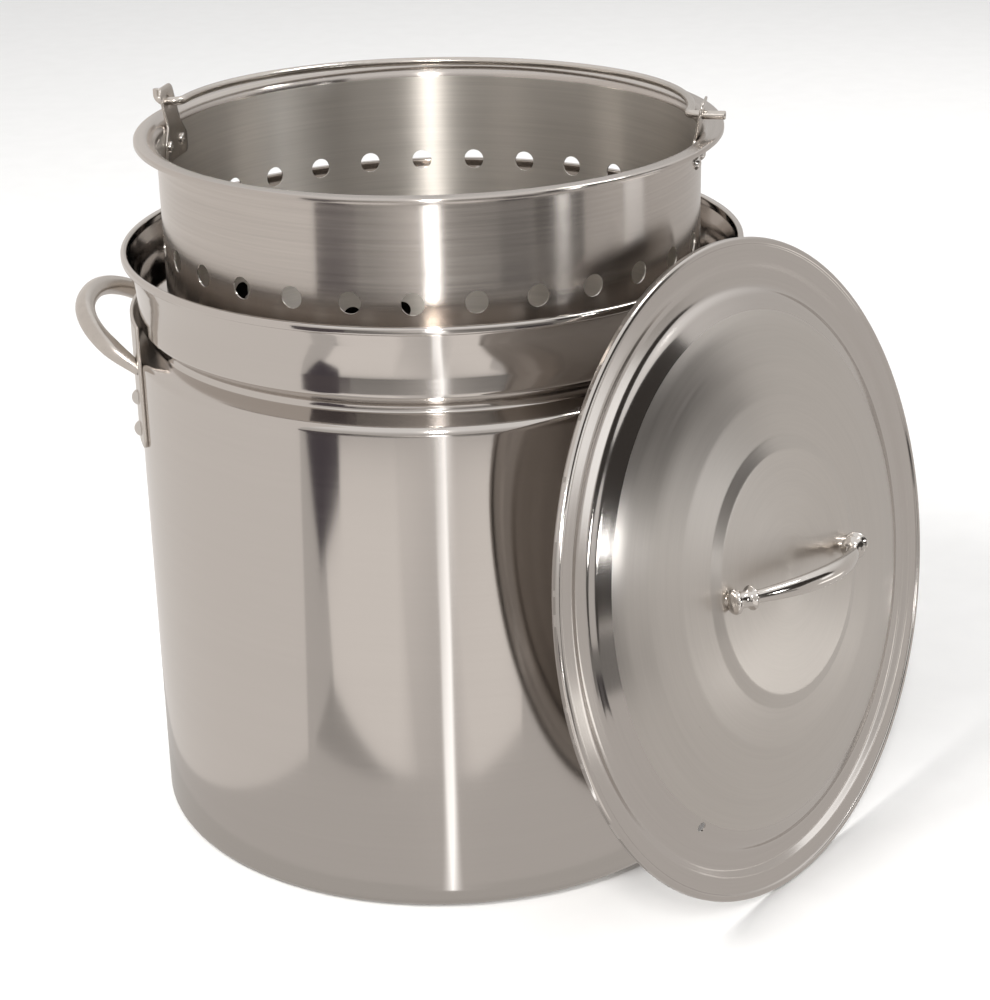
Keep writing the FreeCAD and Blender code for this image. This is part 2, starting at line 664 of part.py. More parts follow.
def lid_shell():
    """Domed lid with the vent and the two screw holes."""
    shell = spun_sheet(lid_path(), LID_SHEET)
    angle = math.radians(VENT_ANGLE)
    vent = FreeCAD.Vector(math.cos(angle) * VENT_RADIUS, math.sin(angle) * VENT_RADIUS, 0)
    cutters = [Part.makeCylinder(VENT_DIAMETER / 2, PANEL_RISE, vent)]
    for place in screw_places():
        cutters.append(Part.makeCylinder(SCREW_SHANK / 2, 2 * SCREW_DEPTH, place - UP * SCREW_DEPTH))
    return shell.cut(cutters)


def grip_point(offset):
    """Height of the grip centre line above the panel at a distance from its middle."""
    ratio = offset / KNUCKLE_OFFSET
    return KNUCKLE_RISE + (GRIP_APEX - KNUCKLE_RISE) * (1 - abs(ratio) ** GRIP_ARCH_POWER)


def ellipse_wire(centre, axis, wide, thick):
    """Elliptical section with its long side level with the lid."""
    side = FreeCAD.Vector(0, 1, 0)
    normal = axis.cross(side)
    normal.normalize()
    points = []
    for index in range(OVAL_POINTS):
        angle = 2 * math.pi * index / OVAL_POINTS
        points.append(centre + side * (math.cos(angle) * wide / 2) + normal * (math.sin(angle) * thick / 2))
    curve = Part.BSplineCurve()
    curve.interpolate(Points=points, PeriodicFlag=True)
    return Part.Wire(curve.toShape())


def knuckle_outline(length):
    """Turned outline of one knuckle, its stub and the foot disc, from the grip outwards."""
    half = KNUCKLE_LENGTH / 2
    chamfer_along, chamfer_across, crown = FOOT_CROWN
    return [
        (-half - KNUCKLE_CUFF, 0),
        (-half - KNUCKLE_CUFF, GRIP_NECK / 2),
        (-half, GRIP_NECK / 2 + CAST_STEP),
        (-KNUCKLE_RIM, KNUCKLE_DIAMETER / 2),
        (KNUCKLE_RIM, KNUCKLE_DIAMETER / 2),
        (half, STUB_DIAMETER / 2),
        (length - FOOT_LENGTH, STUB_DIAMETER / 2 + CAST_STEP),
        (length - FOOT_LENGTH * 0.7, FOOT_DIAMETER / 2),
        (length, FOOT_DIAMETER / 2),
        (length + chamfer_along, FOOT_DIAMETER / 2 - chamfer_across),
        (length + crown, 0),
    ]


def screw_outline():
    """Turned outline of a handle screw, from the crown of its head to the end of the shank."""
    half_way, top = SCREW_HEAD_EDGE
    end = WASHER_THICK + LID_SHEET + SCREW_DEPTH
    return [
        (-SCREW_HEAD_RISE, 0),
        (-SCREW_HEAD_RISE, SCREW_HEAD / 2 - top),
        (-SCREW_HEAD_RISE * 0.5, SCREW_HEAD / 2 - half_way),
        (0, SCREW_HEAD / 2),
        (0, SCREW_SHANK / 2),
        (end, SCREW_SHANK / 2),
        (end, 0),
    ]


def lid_handle():
    """Cast bow: arched grip, pointed knuckles, stubs and foot discs cut flat on the panel."""
    sections = []
    for index in range(GRIP_SECTIONS + 1):
        ratio = 2 * index / GRIP_SECTIONS - 1
        offset = ratio * KNUCKLE_OFFSET
        ahead = FreeCAD.Vector(offset + CAST_STEP, 0, grip_point(offset + CAST_STEP))
        behind = FreeCAD.Vector(offset - CAST_STEP, 0, grip_point(offset - CAST_STEP))
        fullness = 1 - ratio * ratio
        wide = GRIP_NECK + (GRIP_WIDE - GRIP_NECK) * fullness
        thick = GRIP_NECK + (GRIP_THICK - GRIP_NECK) * fullness
        centre = FreeCAD.Vector(offset, 0, grip_point(offset))
        sections.append(ellipse_wire(centre, ahead - behind, wide, thick))
    bow = Part.makeLoft(sections, True, False)
    for side in (-1, 1):
        knuckle = FreeCAD.Vector(side * KNUCKLE_OFFSET, 0, KNUCKLE_RISE)
        foot = FreeCAD.Vector(side * FOOT_OFFSET, 0, FOOT_RISE)
        run = foot - knuckle
        bow = bow.fuse(turned(knuckle_outline(run.Length), knuckle, run))
        pad = Part.makeCylinder(PAD_DIAMETER / 2, PAD_HEIGHT, FreeCAD.Vector(side * SCREW_OFFSET, 0, 0))
        bow = bow.fuse(pad)
    below = Part.makeBox(4 * FOOT_OFFSET, 4 * FOOT_DIAMETER, FOOT_DIAMETER,
                         FreeCAD.Vector(-2 * FOOT_OFFSET, -2 * FOOT_DIAMETER, -FOOT_DIAMETER))
    bow = bow.cut(below)
    for side in (-1, 1):
        tapped = FreeCAD.Vector(side * SCREW_OFFSET, 0, 0)
        bow = bow.cut(Part.makeCylinder(SCREW_SHANK / 2, SCREW_DEPTH, tapped))
    bow.rotate(ORIGIN, UP, GRIP_ANGLE)
    bow.translate(UP * (PANEL_RISE + LID_SHEET / 2))
    return bow


def make_lid():
    """Lid shell, bow handle, screws and washers, all placed together."""
    place = lid_placement()
    half = LID_SHEET / 2
    screws = []
    washers = []
    for centre in screw_places():
        seat = centre - UP * (half + WASHER_THICK)
        screws.append(turned(screw_outline(), seat, UP))
        washer = Part.makeCylinder(WASHER_DIAMETER / 2, WASHER_THICK, seat)
        washers.append(washer.cut(Part.makeCylinder(SCREW_SHANK / 2, WASHER_THICK, seat)))
    pieces = {
        "lid_shell": lid_shell(),
        "lid_handle_bow": lid_handle(),
        "lid_handle_screws": Part.makeCompound(screws),
        "lid_handle_washers": Part.makeCompound(washers),
    }
    for name, shape in pieces.items():
        shape.Placement = place.multiply(shape.Placement)
        save(name, shape)


make_pot()
make_basket()
make_bail()
make_lid()
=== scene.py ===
import math

import bmesh
import bpy
from mathutils import Matrix, Vector
from mathutils.geometry import delaunay_2d_cdt


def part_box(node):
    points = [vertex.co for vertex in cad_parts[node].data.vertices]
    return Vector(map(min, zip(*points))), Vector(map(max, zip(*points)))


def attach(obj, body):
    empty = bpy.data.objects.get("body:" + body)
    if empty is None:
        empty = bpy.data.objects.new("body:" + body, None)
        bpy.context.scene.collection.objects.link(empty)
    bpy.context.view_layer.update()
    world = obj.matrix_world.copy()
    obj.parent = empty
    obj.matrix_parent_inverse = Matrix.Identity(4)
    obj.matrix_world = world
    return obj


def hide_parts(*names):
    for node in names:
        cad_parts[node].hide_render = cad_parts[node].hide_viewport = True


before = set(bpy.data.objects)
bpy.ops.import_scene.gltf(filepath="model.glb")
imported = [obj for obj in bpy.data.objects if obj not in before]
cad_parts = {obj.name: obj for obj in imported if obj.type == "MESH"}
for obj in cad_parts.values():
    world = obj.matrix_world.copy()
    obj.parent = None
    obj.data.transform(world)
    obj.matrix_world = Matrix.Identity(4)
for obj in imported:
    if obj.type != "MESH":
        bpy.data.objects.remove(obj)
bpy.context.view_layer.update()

# Looks for the turkey fryer kit: smooth high-resolution meshes for the pot, basket, bail, lid and
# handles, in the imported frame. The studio's are metres. A bearing is an angle about Z from -Y
# towards +X.

MM = 0.001
BOX_TOLERANCE = 0.0008        # rebuilt pieces agree with their CAD node to this, in metres

# ---- dimensions
# pot, basket and lid shells
POT_SHEET = 1.0
POT_WALL_RADIUS = 178.0       # outside
BASKET_SHEET = 0.8
BASKET_WALL_RADIUS = 157.4    # outside
BASKET_MID_RADIUS = BASKET_WALL_RADIUS - BASKET_SHEET / 2
BASKET_FLOOR_Z = 136.7        # mid-sheet
BASKET_LIP_Z = 411.5          # the wall starts to roll out to the flange
LID_SHEET = 0.8

# mid-sheet paths: (radius, height, fillet)
POT_PATH = [
    (0, 0.5, 0), (177.5, 0.5, 6), (177.5, 293.6, 5), (166.2, 300.4, 3.2), (166.2, 304.6, 2.4),
    (174.6, 311.6, 3), (174.6, 331.5, 60), (179.6, 347.6, 2.4), (179.6, 352.3, 1.2),
    (182.2, 352.3, 1.2), (182.2, 348.6, 1.0), (180.9, 348.6, 0)]
BASKET_PATH = [
    (0, BASKET_FLOOR_Z, 0), (BASKET_MID_RADIUS, BASKET_FLOOR_Z, 8), (BASKET_MID_RADIUS, 417.9, 7),
    (169.9, 417.9, 0.9), (169.9, 415.5, 0)]
LID_PATH = [
    (0, 22.1, 0), (69.5, 22.1, 5), (77.0, 19.7, 7), (100.0, 17.0, 45), (122.0, 12.9, 120),
    (141.0, 7.9, 60), (156.8, 1.9, 10), (160.5, -0.9, 7), (170.0, -1.3, 8), (175.5, 0.9, 6),
    (184.1, 0.9, 1.2), (185.1, 2.1, 1.0),
    (187.9, 1.9, 1.5), (187.9, -2.3, 1.3), (185.0, -2.3, 0)]

HOLE_RADIUS = 6.25
HOLES_PER_ROW = 29
HOLE_ROWS = 7
HOLE_ROW_PITCH = 34.0
FIRST_ROW_Z = 362.0
FIRST_HOLE_BEARING = -4.24
FLOOR_HOLE_RINGS = ((0.0, 1), (34.0, 6), (68.0, 12), (102.0, 18), (134.0, 24))
CELL_STEPS = 8                # grid steps across one wall hole cell
LOW_CELL_STEPS = 3            # grid steps below the lowest row's hole centres
FLOOR_HOLE_STEPS = 28
FLOOR_SPACING = 9.0           # between the floor's own mesh points
FLOOR_ROW_SHARE = 0.87        # and between their rows, as a share of that
FLOOR_EDGE_RADIUS = 145.0     # the flat floor ends here, just outside its holes
LID_SATIN_RADIUS = 147.5      # the dome is satin inside this radius and polished outside it

# pot handles
LEFT_HANDLE_BEARING = -94.4
LOOP_HALF_WIDTH = 57.3
LOOP_REACH = 207.8
LOOP_END_Z = 287.9
LOOP_TILT = 35.0
LOOP_POWER = 0.88
LOOP_ROD = 11.6
LOOP_END_ROD = 8.4
LOOP_DRAW = 20.0              # the rod thins to its ends over this reach
LOOP_OVERLAP = 0.05           # the rod's ends sink this far into the plate
PLATE_SHEET = 2.0
PLATE_HALF_ANGLE = 21.6
PLATE_TAB_ANGLE = 5.2
PLATE_TOP_Z = 316.0
PLATE_STRAP_LOW_Z = 291.0
PLATE_TAB_LOW_Z = 240.5
RIVET_HEIGHTS = (268.5, 249.0)
RIVET_SLACK = 0.06            # the tails stand this far off the sheets
POT_RIVET = (9.6, 3.4, 8.0, 1.5)          # head width and rise, tail width and rise

# basket ears and bail
EAR_SHEET = 1.5
EAR_LOW_Z = 392.5
EAR_TOP_Z = 436.0
EAR_FOOT_TOP_Z = 405.0
EAR_NECK_Z = 414.0
EAR_FOOT_HALF_WIDTH = 18.5
EAR_HALF_WIDTH = 11.0
EAR_CORNER = 4
EAR_HOLE_RADIUS = 2.85
EAR_LEAN_Z = 412.5
EAR_LEAN = 10.5
EAR_LEAN_BEND = 10.0
EAR_RIVET_Z = 402.0
EAR_RIVET_SPACING = 22.0
EAR_RIVET = (8.2, 2.8, 7.0, 1.2, 2.8)     # as POT_RIVET, then the bore of its rolled tail

BAIL_AXIS_BEARING = 76.6
BAIL_PIVOT_Z = 427.0
BAIL_WIRE = 5.0
BAIL_INSIDE_RADIUS = 150.5
BAIL_REACH = 160.0
BAIL_BEND = 6.0
BAIL_REST_Z = 421.0
BAIL_RIGHT_TIP = 172.0
BAIL_LEFT_TURN = 164.6
BAIL_LEFT_TURN_BEND = 4.0
BAIL_LEFT_HOOK = 7.2
BAIL_TIP = 0.5                # the wire's ends are rounded over this length
BAIL_TIP_DRAW = 0.45

# lid, and its handle in the lid's own axes
LID_CENTRE = (177.9, -126.6, 184.93)
LID_BEARING = 50.92
LID_LEAN = 11.14
LID_PANEL_TOP = 22.5
VENT_RADIUS = 3.0
VENT_AT = 151.0               # radius of its centre
VENT_ROW = 1.25               # between the mesh rows around the vent
VENT_ANGLE = -129.7
GRIP_ANGLE = -5.0
GRIP_APEX = 26.0
GRIP_THICK = 9.2
GRIP_WIDE = 11.5
GRIP_NECK = 6.6
GRIP_ARCH = 2.1               # power of the grip's arch: 2 is a parabola
KNUCKLE_OFFSET = 55.0
KNUCKLE_RISE = 9.0
FOOT_OFFSET = 66.0
FOOT_RISE = 4.6
FOOT_PAD_OFFSET = 61.0
FOOT_PAD = [(-0.5, 0), (-0.5, 5.2), (3.6, 5.2), (4.0, 4.6), (4.0, 0)]     # (height, radius)

# mesh settings
SAME_ROW = 0.02               # rows closer than this are one row
LONG_RUN = 3.0                # a straight run longer than this gets a row near each end
BEND_MARGIN = 0.7             # that far from the bend
HOLE_RINGS = (0.45, 0.8, 1.0)             # shares of the way from a hole's cell to its edge
RIM_BULGE = 0.6
WELD = 2e-6                   # metres
SLIVER = 1e-7                 # metres
SPIN_PLACE = "spin_place"     # mesh attribute: a point's place about its piece's own axis
SPIN_UV = "spin_uv"

# studio and camera
WARM = (1.0, 0.955, 0.915)
WHITE = (1, 1, 1)
PAPER_WHITE = 0.72            # the room's brightness for all but reflections
# the dark flag's edge: bearing, lowest and highest elevation, in degrees
FLAG_EDGE = ((42, -5, 44), (50, -4, 44), (58, -1, 44), (66, 2, 43), (74, 6, 42), (82, 10, 40),
             (90, 9, 36), (98, 7, 30), (106, 7, 20))
SIDE_LIGHT_EDGE = ((85, -5, 4), (91, -5, 5), (98, -4, 5))
CAMERA_LENS = 84.477
CAMERA_PLACE = (0.0, -1.34208, 0.73031)
CAMERA_TURN = (67.73214, 1.15952, -1.90061)


# ---- geometry helpers
def radial(bearing):
    angle = math.radians(bearing)
    return Vector((math.sin(angle), -math.cos(angle), 0))


def tangent(bearing):
    angle = math.radians(bearing)
    return Vector((math.cos(angle), math.sin(angle), 0))


def sample_path(points, run_step=9.0, turn_step=7.0, stations=None):
    """(radius, height, normal r, normal z) rows along a filleted path, close together at bends.

    stations maps a run's number to the heights or radii at which that run needs a row."""
    stations = stations or {}
    rows = []

    def add(r, z, dr, dz):
        if rows and math.hypot(r - rows[-1][0], z - rows[-1][1]) < SAME_ROW:
            return
        rows.append((r, z, -dz, dr))

    def run(start, end, number):
        length = math.hypot(end[0] - start[0], end[1] - start[1])
        if length < SAME_ROW:
            return
        dr, dz = (end[0] - start[0]) / length, (end[1] - start[1]) / length
        along = {0.0, length}
        if length > LONG_RUN:
            along |= {BEND_MARGIN, length - BEND_MARGIN}
        upright = abs(dz) > abs(dr)
        marks = []
        for mark in stations.get(number, ()):
            marks.append((mark - start[1]) / dz if upright else (mark - start[0]) / dr)
        if marks:
            along |= set(marks)
            low, high = min(marks), max(marks)
            gaps = [(BEND_MARGIN, low), (high, length - BEND_MARGIN)]
        else:
            gaps = [(BEND_MARGIN, length - BEND_MARGIN)]
        for a, b in gaps:
            count = max(1, round((b - a) / run_step))
            along |= {a + (b - a) * k / count for k in range(1, count)}
        for s in sorted(along):
            add(start[0] + dr * s, start[1] + dz * s, dr, dz)

    start = points[0][:2]
    for index in range(1, len(points) - 1):
        a, b, c = points[index - 1], points[index], points[index + 1]
        la = math.hypot(b[0] - a[0], b[1] - a[1])
        lc = math.hypot(c[0] - b[0], c[1] - b[1])
        u = ((b[0] - a[0]) / la, (b[1] - a[1]) / la)
        v = ((c[0] - b[0]) / lc, (c[1] - b[1]) / lc)
        turn = math.atan2(u[0] * v[1] - u[1] * v[0], u[0] * v[0] + u[1] * v[1])
        step = b[2] * math.tan(abs(turn) / 2)
        enter = (b[0] - u[0] * step, b[1] - u[1] * step)
        run(start, enter, index - 1)
        side = math.copysign(1.0, turn)
        centre = (enter[0] - u[1] * side * b[2], enter[1] + u[0] * side * b[2])
        count = max(3, math.ceil(abs(math.degrees(turn)) / turn_step))
        for k in range(count + 1):
            swing = turn * k / count
            dr = u[0] * math.cos(swing) - u[1] * math.sin(swing)
            dz = u[0] * math.sin(swing) + u[1] * math.cos(swing)
            add(centre[0] + dz * side * b[2], centre[1] - dr * side * b[2], dr, dz)
        start = (b[0] + v[0] * step, b[1] + v[1] * step)
    run(start, points[-1][:2], len(points) - 2)
    return rows


def spin_marks(mesh):
    """Store each point's place about the piece's own Z, and a UV map with U round that axis."""
    own = mesh.attributes.new(SPIN_PLACE, "FLOAT_VECTOR", "POINT")
    for vertex in mesh.vertices:
        own.data[vertex.index].vector = vertex.co
    layer = mesh.uv_layers.new(name=SPIN_UV)
    for face in mesh.polygons:
        middle = math.atan2(face.center.y, face.center.x)
        for loop in face.loop_indices:
            co = mesh.vertices[mesh.loops[loop].vertex_index].co
            swing = math.atan2(co.y, co.x) - middle
            swing = (swing + math.pi) % (2 * math.pi) - math.pi
            layer.data[loop].uv = ((middle + swing) / (2 * math.pi), math.hypot(co.x, co.y) + co.z)


def finish_mesh(name, verts, faces, smooth_angle=35.0, place=None):
    """Object in metres from millimetre vertices, outward faces, smooth below an angle."""
    mesh = bpy.data.meshes.new(name)
    mesh.from_pydata([Vector(v) * MM for v in verts], [], faces)
    bm = bmesh.new()
    bm.from_mesh(mesh)
    bmesh.ops.remove_doubles(bm, verts=bm.verts, dist=WELD)
    bmesh.ops.dissolve_degenerate(bm, edges=bm.edges, dist=SLIVER)
    bmesh.ops.recalc_face_normals(bm, faces=bm.faces)
    loose = [v for v in bm.verts if not v.link_faces]
    bmesh.ops.delete(bm, geom=loose, context="VERTS")
    limit = math.radians(smooth_angle)
    for edge in bm.edges:
        if len(edge.link_faces) == 2:
            edge.smooth = edge.calc_face_angle(0.0) < limit
    for face in bm.faces:
        face.smooth = True
    bm.to_mesh(mesh)
    bm.free()
    spin_marks(mesh)
    if place is not None:
        mesh.transform(place)
    piece = bpy.data.objects.new(name, mesh)
    bpy.context.scene.collection.objects.link(piece)
    return piece


def band(a, b):
    """Quads between two closed rings of vertex numbers."""
    count = len(a)
    return [[a[k], a[(k + 1) % count], b[(k + 1) % count], b[k]] for k in range(count)]


def spun_shell(rows, thickness, segments, start_angle=0.0, windows=(), skip_rows=0):
    """Sheet spun about Z: two skins, a rounded free edge, and round holes punched in windows.

    A window is (first row, last row, first column, last column, hole row position, hole column
    position, hole radius).  Rows before skip_rows are left out, for a floor built elsewhere."""
    verts, faces = [], []
    half = thickness / 2
    last = len(rows) - 1

    def point(row, column, side):
        k = min(int(row), last - 1)
        t = row - k
        a, b = rows[k], rows[k + 1]
        r, z = a[0] + (b[0] - a[0]) * t, a[1] + (b[1] - a[1]) * t
        nr, nz = a[2] + (b[2] - a[2]) * t, a[3] + (b[3] - a[3]) * t
        angle = start_angle + 2 * math.pi * column / segments
        r, z = r + nr * half * side, z + nz * half * side
        return (math.cos(angle) * r, math.sin(angle) * r, z)

    grid = {}
    for side in (1, -1):
        for i in range(skip_rows, last + 1):
            if rows[i][0] < 1e-6:
                grid[side, i, 0] = len(verts)
                verts.append(point(i, 0, side))
                for j in range(1, segments):
                    grid[side, i, j] = grid[side, i, 0]
                continue
            for j in range(segments):
                grid[side, i, j] = len(verts)
                verts.append(point(i, j, side))

    punched = set()
    for i0, i1, j0, j1 in [w[:4] for w in windows]:
        for i in range(i0, i1):
            for j in range(j0, j1):
                punched.add((i, j % segments))

    for side in (1, -1):
        for i in range(skip_rows, last):
            for j in range(segments):
                if (i, j) in punched:
                    continue
                k = (j + 1) % segments
                ring = [grid[side, i, j], grid[side, i, k]]
                ring += [grid[side, i + 1, k], grid[side, i + 1, j]]
                ring = list(dict.fromkeys(ring))
                faces.append(ring if side < 0 else ring[::-1])

    for i0, i1, j0, j1, ci, cj, hole in windows:
        border = [(i0, j) for j in range(j0, j1)] + [(i, j1) for i in range(i0, i1)]
        border += [(i1, j) for j in range(j1, j0, -1)] + [(i, j0) for i in range(i1, i0, -1)]
        k = min(int(ci), last - 1)
        run = math.hypot(rows[i1][0] - rows[i0][0], rows[i1][1] - rows[i0][1]) / (i1 - i0)
        across = 2 * math.pi * (rows[k][0] + (rows[k + 1][0] - rows[k][0]) * (ci - k)) / segments
        loops = {}
        for side in (1, -1):
            loops[side] = [[grid[side, i, j % segments] for i, j in border]]
            for share in HOLE_RINGS:
                ring = []
                for i, j in border:
                    y, x = (i - ci) * run, (j - cj) * across
                    size = math.hypot(x, y)
                    goal_i = ci + y / size * hole / run
                    goal_j = cj + x / size * hole / across
                    ring.append(len(verts))
                    verts.append(point(i + (goal_i - i) * share, j + (goal_j - j) * share, side))
                loops[side].append(ring)
            for outer, inner in zip(loops[side][:-1], loops[side][1:]):
                faces += band(outer, inner)
        faces += band(loops[1][-1], loops[-1][-1])

    edge = rows[last]
    direction = (edge[3], -edge[2])
    rim = [[grid[1, last, j] for j in range(segments)]]
    for step in range(1, 4):
        swing = math.pi * step / 4
        across, along = math.cos(swing), math.sin(swing)
        r = edge[0] + edge[2] * half * across + direction[0] * half * along * RIM_BULGE
        z = edge[1] + edge[3] * half * across + direction[1] * half * along * RIM_BULGE
        ring = []
        for j in range(segments):
            angle = start_angle + 2 * math.pi * j / segments
            ring.append(len(verts))
            verts.append((math.cos(angle) * r, math.sin(angle) * r, z))
        rim.append(ring)
    rim.append([grid[-1, last, j] for j in range(segments)])
    for a, b in zip(rim[:-1], rim[1:]):
        faces += band(a, b)
    return verts, faces


def swept(centres, sections):
    """Closed rod through rings: sections gives each ring's offsets across and up as (a, b) pairs."""
    verts, faces = [], []
    last = len(centres) - 1
    up = None
    for index, centre in enumerate(centres):
        axis = (centres[min(index + 1, last)] - centres[max(index - 1, 0)]).normalized()
        if up is None:
            guess = Vector((0, 0, 1)) if abs(axis.z) < 0.9 else Vector((1, 0, 0))
            up = (guess - axis * guess.dot(axis)).normalized()
        else:
            up = (up - axis * up.dot(axis)).normalized()
        side = axis.cross(up)
        for a, b in sections[index]:
            verts.append(tuple(centre + side * a + up * b))
    count = len(sections[0])
    rings = [list(range(index * count, (index + 1) * count)) for index in range(last + 1)]
    for a, b in zip(rings[:-1], rings[1:]):
        faces += band(a, b)
    faces.append(rings[0][::-1])
    faces.append(rings[-1])
    return verts, faces


def circle(radius, count=32):
    return [(math.cos(2 * math.pi * k / count) * radius, math.sin(2 * math.pi * k / count) * radius)
            for k in range(count)]


def turned(outline, centre, axis, count=40):
    """Turned part of (along, radius) points placed on an axis."""
    axis = Vector(axis).normalized()
    guess = Vector((0, 0, 1)) if abs(axis.z) < 0.9 else Vector((1, 0, 0))
    up = (guess - axis * guess.dot(axis)).normalized()
    side = axis.cross(up)
    verts, faces, rings = [], [], []
    for along, radius in outline:
        if radius < 1e-6:
            rings.append([len(verts)] * count)
            verts.append(tuple(centre + axis * along))
            continue
        ring = []
        for k in range(count):
            angle = 2 * math.pi * k / count
            ring.append(len(verts))
            verts.append(tuple(centre + axis * along + side * (math.cos(angle) * radius)
                               + up * (math.sin(angle) * radius)))
        rings.append(ring)
    for a, b in zip(rings[:-1], rings[1:]):
        for quad in band(a, b):
            face = list(dict.fromkeys(quad))
            if len(face) > 2:
                faces.append(face)
    return verts, faces


def merged(parts):
    """Join several (verts, faces) parts."""
    verts, faces = [], []
    for part_verts, part_faces in parts:
        base = len(verts)
        verts += list(part_verts)
        faces += [[base + index for index in face] for face in part_faces]
    return verts, faces


def cut_sheet(outline, holes, bend, thickness, step=3.0):
    """Sheet metal blank: a flat outline with holes, mapped on to a bent surface.

    bend(x, y, depth) gives the 3-D point at a depth through the sheet, 0 on its outer skin."""
    soft = min(0.35, thickness * 0.25)

    def ring_points(points, inset):
        moved = []
        count = len(points)
        for k in range(count):
            a, b, c = Vector(points[k - 1]), Vector(points[k]), Vector(points[(k + 1) % count])
            u, v = (b - a).normalized(), (c - b).normalized()
            n = Vector((-u.y - v.y, u.x + v.x))
            n = n / max(0.3, 1 + u.dot(v))
            moved.append(tuple(b + n * inset))
        return moved

    loops = [outline] + list(holes)
    inner = [ring_points(outline, soft)] + [ring_points(hole, soft) for hole in holes]
    points, edges = [], []
    for loop in inner:
        base = len(points)
        points += [Vector(p) for p in loop]
        edges += [(base + k, base + (k + 1) % len(loop)) for k in range(len(loop))]
    xs = [p[0] for p in outline]
    ys = [p[1] for p in outline]

    def inside(p, loop):
        hit = False
        for k in range(len(loop)):
            a, b = loop[k - 1], loop[k]
            if (a[1] > p[1]) != (b[1] > p[1]):
                if p[0] < (b[0] - a[0]) * (p[1] - a[1]) / (b[1] - a[1]) + a[0]:
                    hit = not hit
        return hit

    def on_sheet(p):
        return inside(p, inner[0]) and not any(inside(p, hole) for hole in inner[1:])

    def clear(p):
        return all((Vector(p) - Vector(q)).length > step * 0.45 for loop in inner for q in loop)

    columns = int((max(xs) - min(xs)) / step)
    rows = int((max(ys) - min(ys)) / step)
    for i in range(1, columns + 1):
        for j in range(1, rows + 1):
            p = (min(xs) + (max(xs) - min(xs)) * i / (columns + 1),
                 min(ys) + (max(ys) - min(ys)) * j / (rows + 1))
            if on_sheet(p) and clear(p):
                points.append(Vector(p))
    flat, _, triangles, _, _, _ = delaunay_2d_cdt(points, edges, [], 0, 1e-6)
    keep = []
    for face in triangles:
        middle = sum((flat[k] for k in face), Vector((0, 0))) / len(face)
        if on_sheet(middle):
            keep.append(face)
    verts, faces = [], []
    skins = []
    for depth in (0.0, thickness):
        skins.append(len(verts))
        verts += [bend(p.x, p.y, depth) for p in flat]
    for face in keep:
        faces.append([skins[0] + k for k in face])
        faces.append([skins[1] + k for k in reversed(face)])
    order = {}
    for k, p in enumerate(flat):
        order[(round(p.x, 4), round(p.y, 4))] = k
    for loop, soft_loop in zip(loops, inner):
        names = [order[(round(p[0], 4), round(p[1], 4))] for p in soft_loop]
        upper = len(verts)
        verts += [bend(p[0], p[1], soft) for p in loop]
        lower = len(verts)
        verts += [bend(p[0], p[1], thickness - soft) for p in loop]
        rings = [[skins[0] + k for k in names], list(range(upper, lower)),
                 list(range(lower, len(verts))), [skins[1] + k for k in names]]
        for a, b in zip(rings[:-1], rings[1:]):
            faces += band(a, b)
    return verts, faces


def rounded_outline(corners, steps=6):
    """Closed outline from (x, y, corner radius) points."""
    outline = []
    count = len(corners)
    for k in range(count):
        a, b, c = [Vector(corners[n % count][:2]) for n in (k - 1, k, k + 1)]
        radius = corners[k][2]
        u, v = (b - a).normalized(), (c - b).normalized()
        turn = math.atan2(u.x * v.y - u.y * v.x, u.dot(v))
        reach = radius * math.tan(abs(turn) / 2)
        start = b - u * reach
        side = math.copysign(1.0, turn)
        centre = start + Vector((-u.y, u.x)) * side * radius
        for s in range(steps + 1):
            swing = turn * s / steps
            d = Vector((u.x * math.cos(swing) - u.y * math.sin(swing),
                        u.x * math.sin(swing) + u.y * math.cos(swing)))
            outline.append(tuple(centre - Vector((-d.y, d.x)) * side * radius))
    return outline


def dense(outline, step=3.0):
    """Add points along the long sides of an outline."""
    out = []
    for k in range(len(outline)):
        a, b = Vector(outline[k]), Vector(outline[(k + 1) % len(outline)])
        count = max(1, round((b - a).length / step))
        out += [tuple(a + (b - a) * n / count) for n in range(count)]
    return out


def dome(radius, rise, steps=9):
    """Outline of a spherical cap from crown to edge."""
    sphere = (radius * radius + rise * rise) / (2 * rise)
    points = []
    for k in range(steps + 1):
        across = radius * k / steps
        points.append((math.sqrt(sphere ** 2 - across ** 2) - (sphere - rise), across))
    return points


def rivet(centre, axis, grip, head, rise, tail, tail_rise, bore=0.0):
    """Domed head on the outer skin and a set tail on the inner one."""
    outline = dome(head / 2, rise)
    outline += [(0, head / 2 - 0.3), (-grip, tail / 2 - 0.3), (-grip, tail / 2)]
    outline += [(-grip - tail_rise * 0.6, tail / 2), (-grip - tail_rise, tail / 2 - tail_rise * 0.4)]
    if bore:
        outline += [(-grip - tail_rise, bore / 2), (-grip - tail_rise * 0.2, bore / 2 - 0.1),
                    (-grip - tail_rise * 0.2, 0)]
    else:
        outline += [(-grip - tail_rise, 0)]
    return turned(outline, centre, axis)


# ---- materials
def graph(name):
    material = bpy.data.materials.new(name)
    material.use_nodes = True
    nodes = material.node_tree.nodes
    nodes.clear()
    output = nodes.new("ShaderNodeOutputMaterial")
    shader = nodes.new("ShaderNodeBsdfPrincipled")
    material.node_tree.links.new(shader.outputs[0], output.inputs[0])
    return material, material.node_tree, shader


def math_node(tree, operation, a, b=None, c=None):
    node = tree.nodes.new("ShaderNodeMath")
    node.operation = operation
    for socket, value in zip(node.inputs, (a, b, c)):
        if value is None:
            continue
        if isinstance(value, (int, float)):
            socket.default_value = value
        else:
            tree.links.new(value, socket)
    return node.outputs[0]


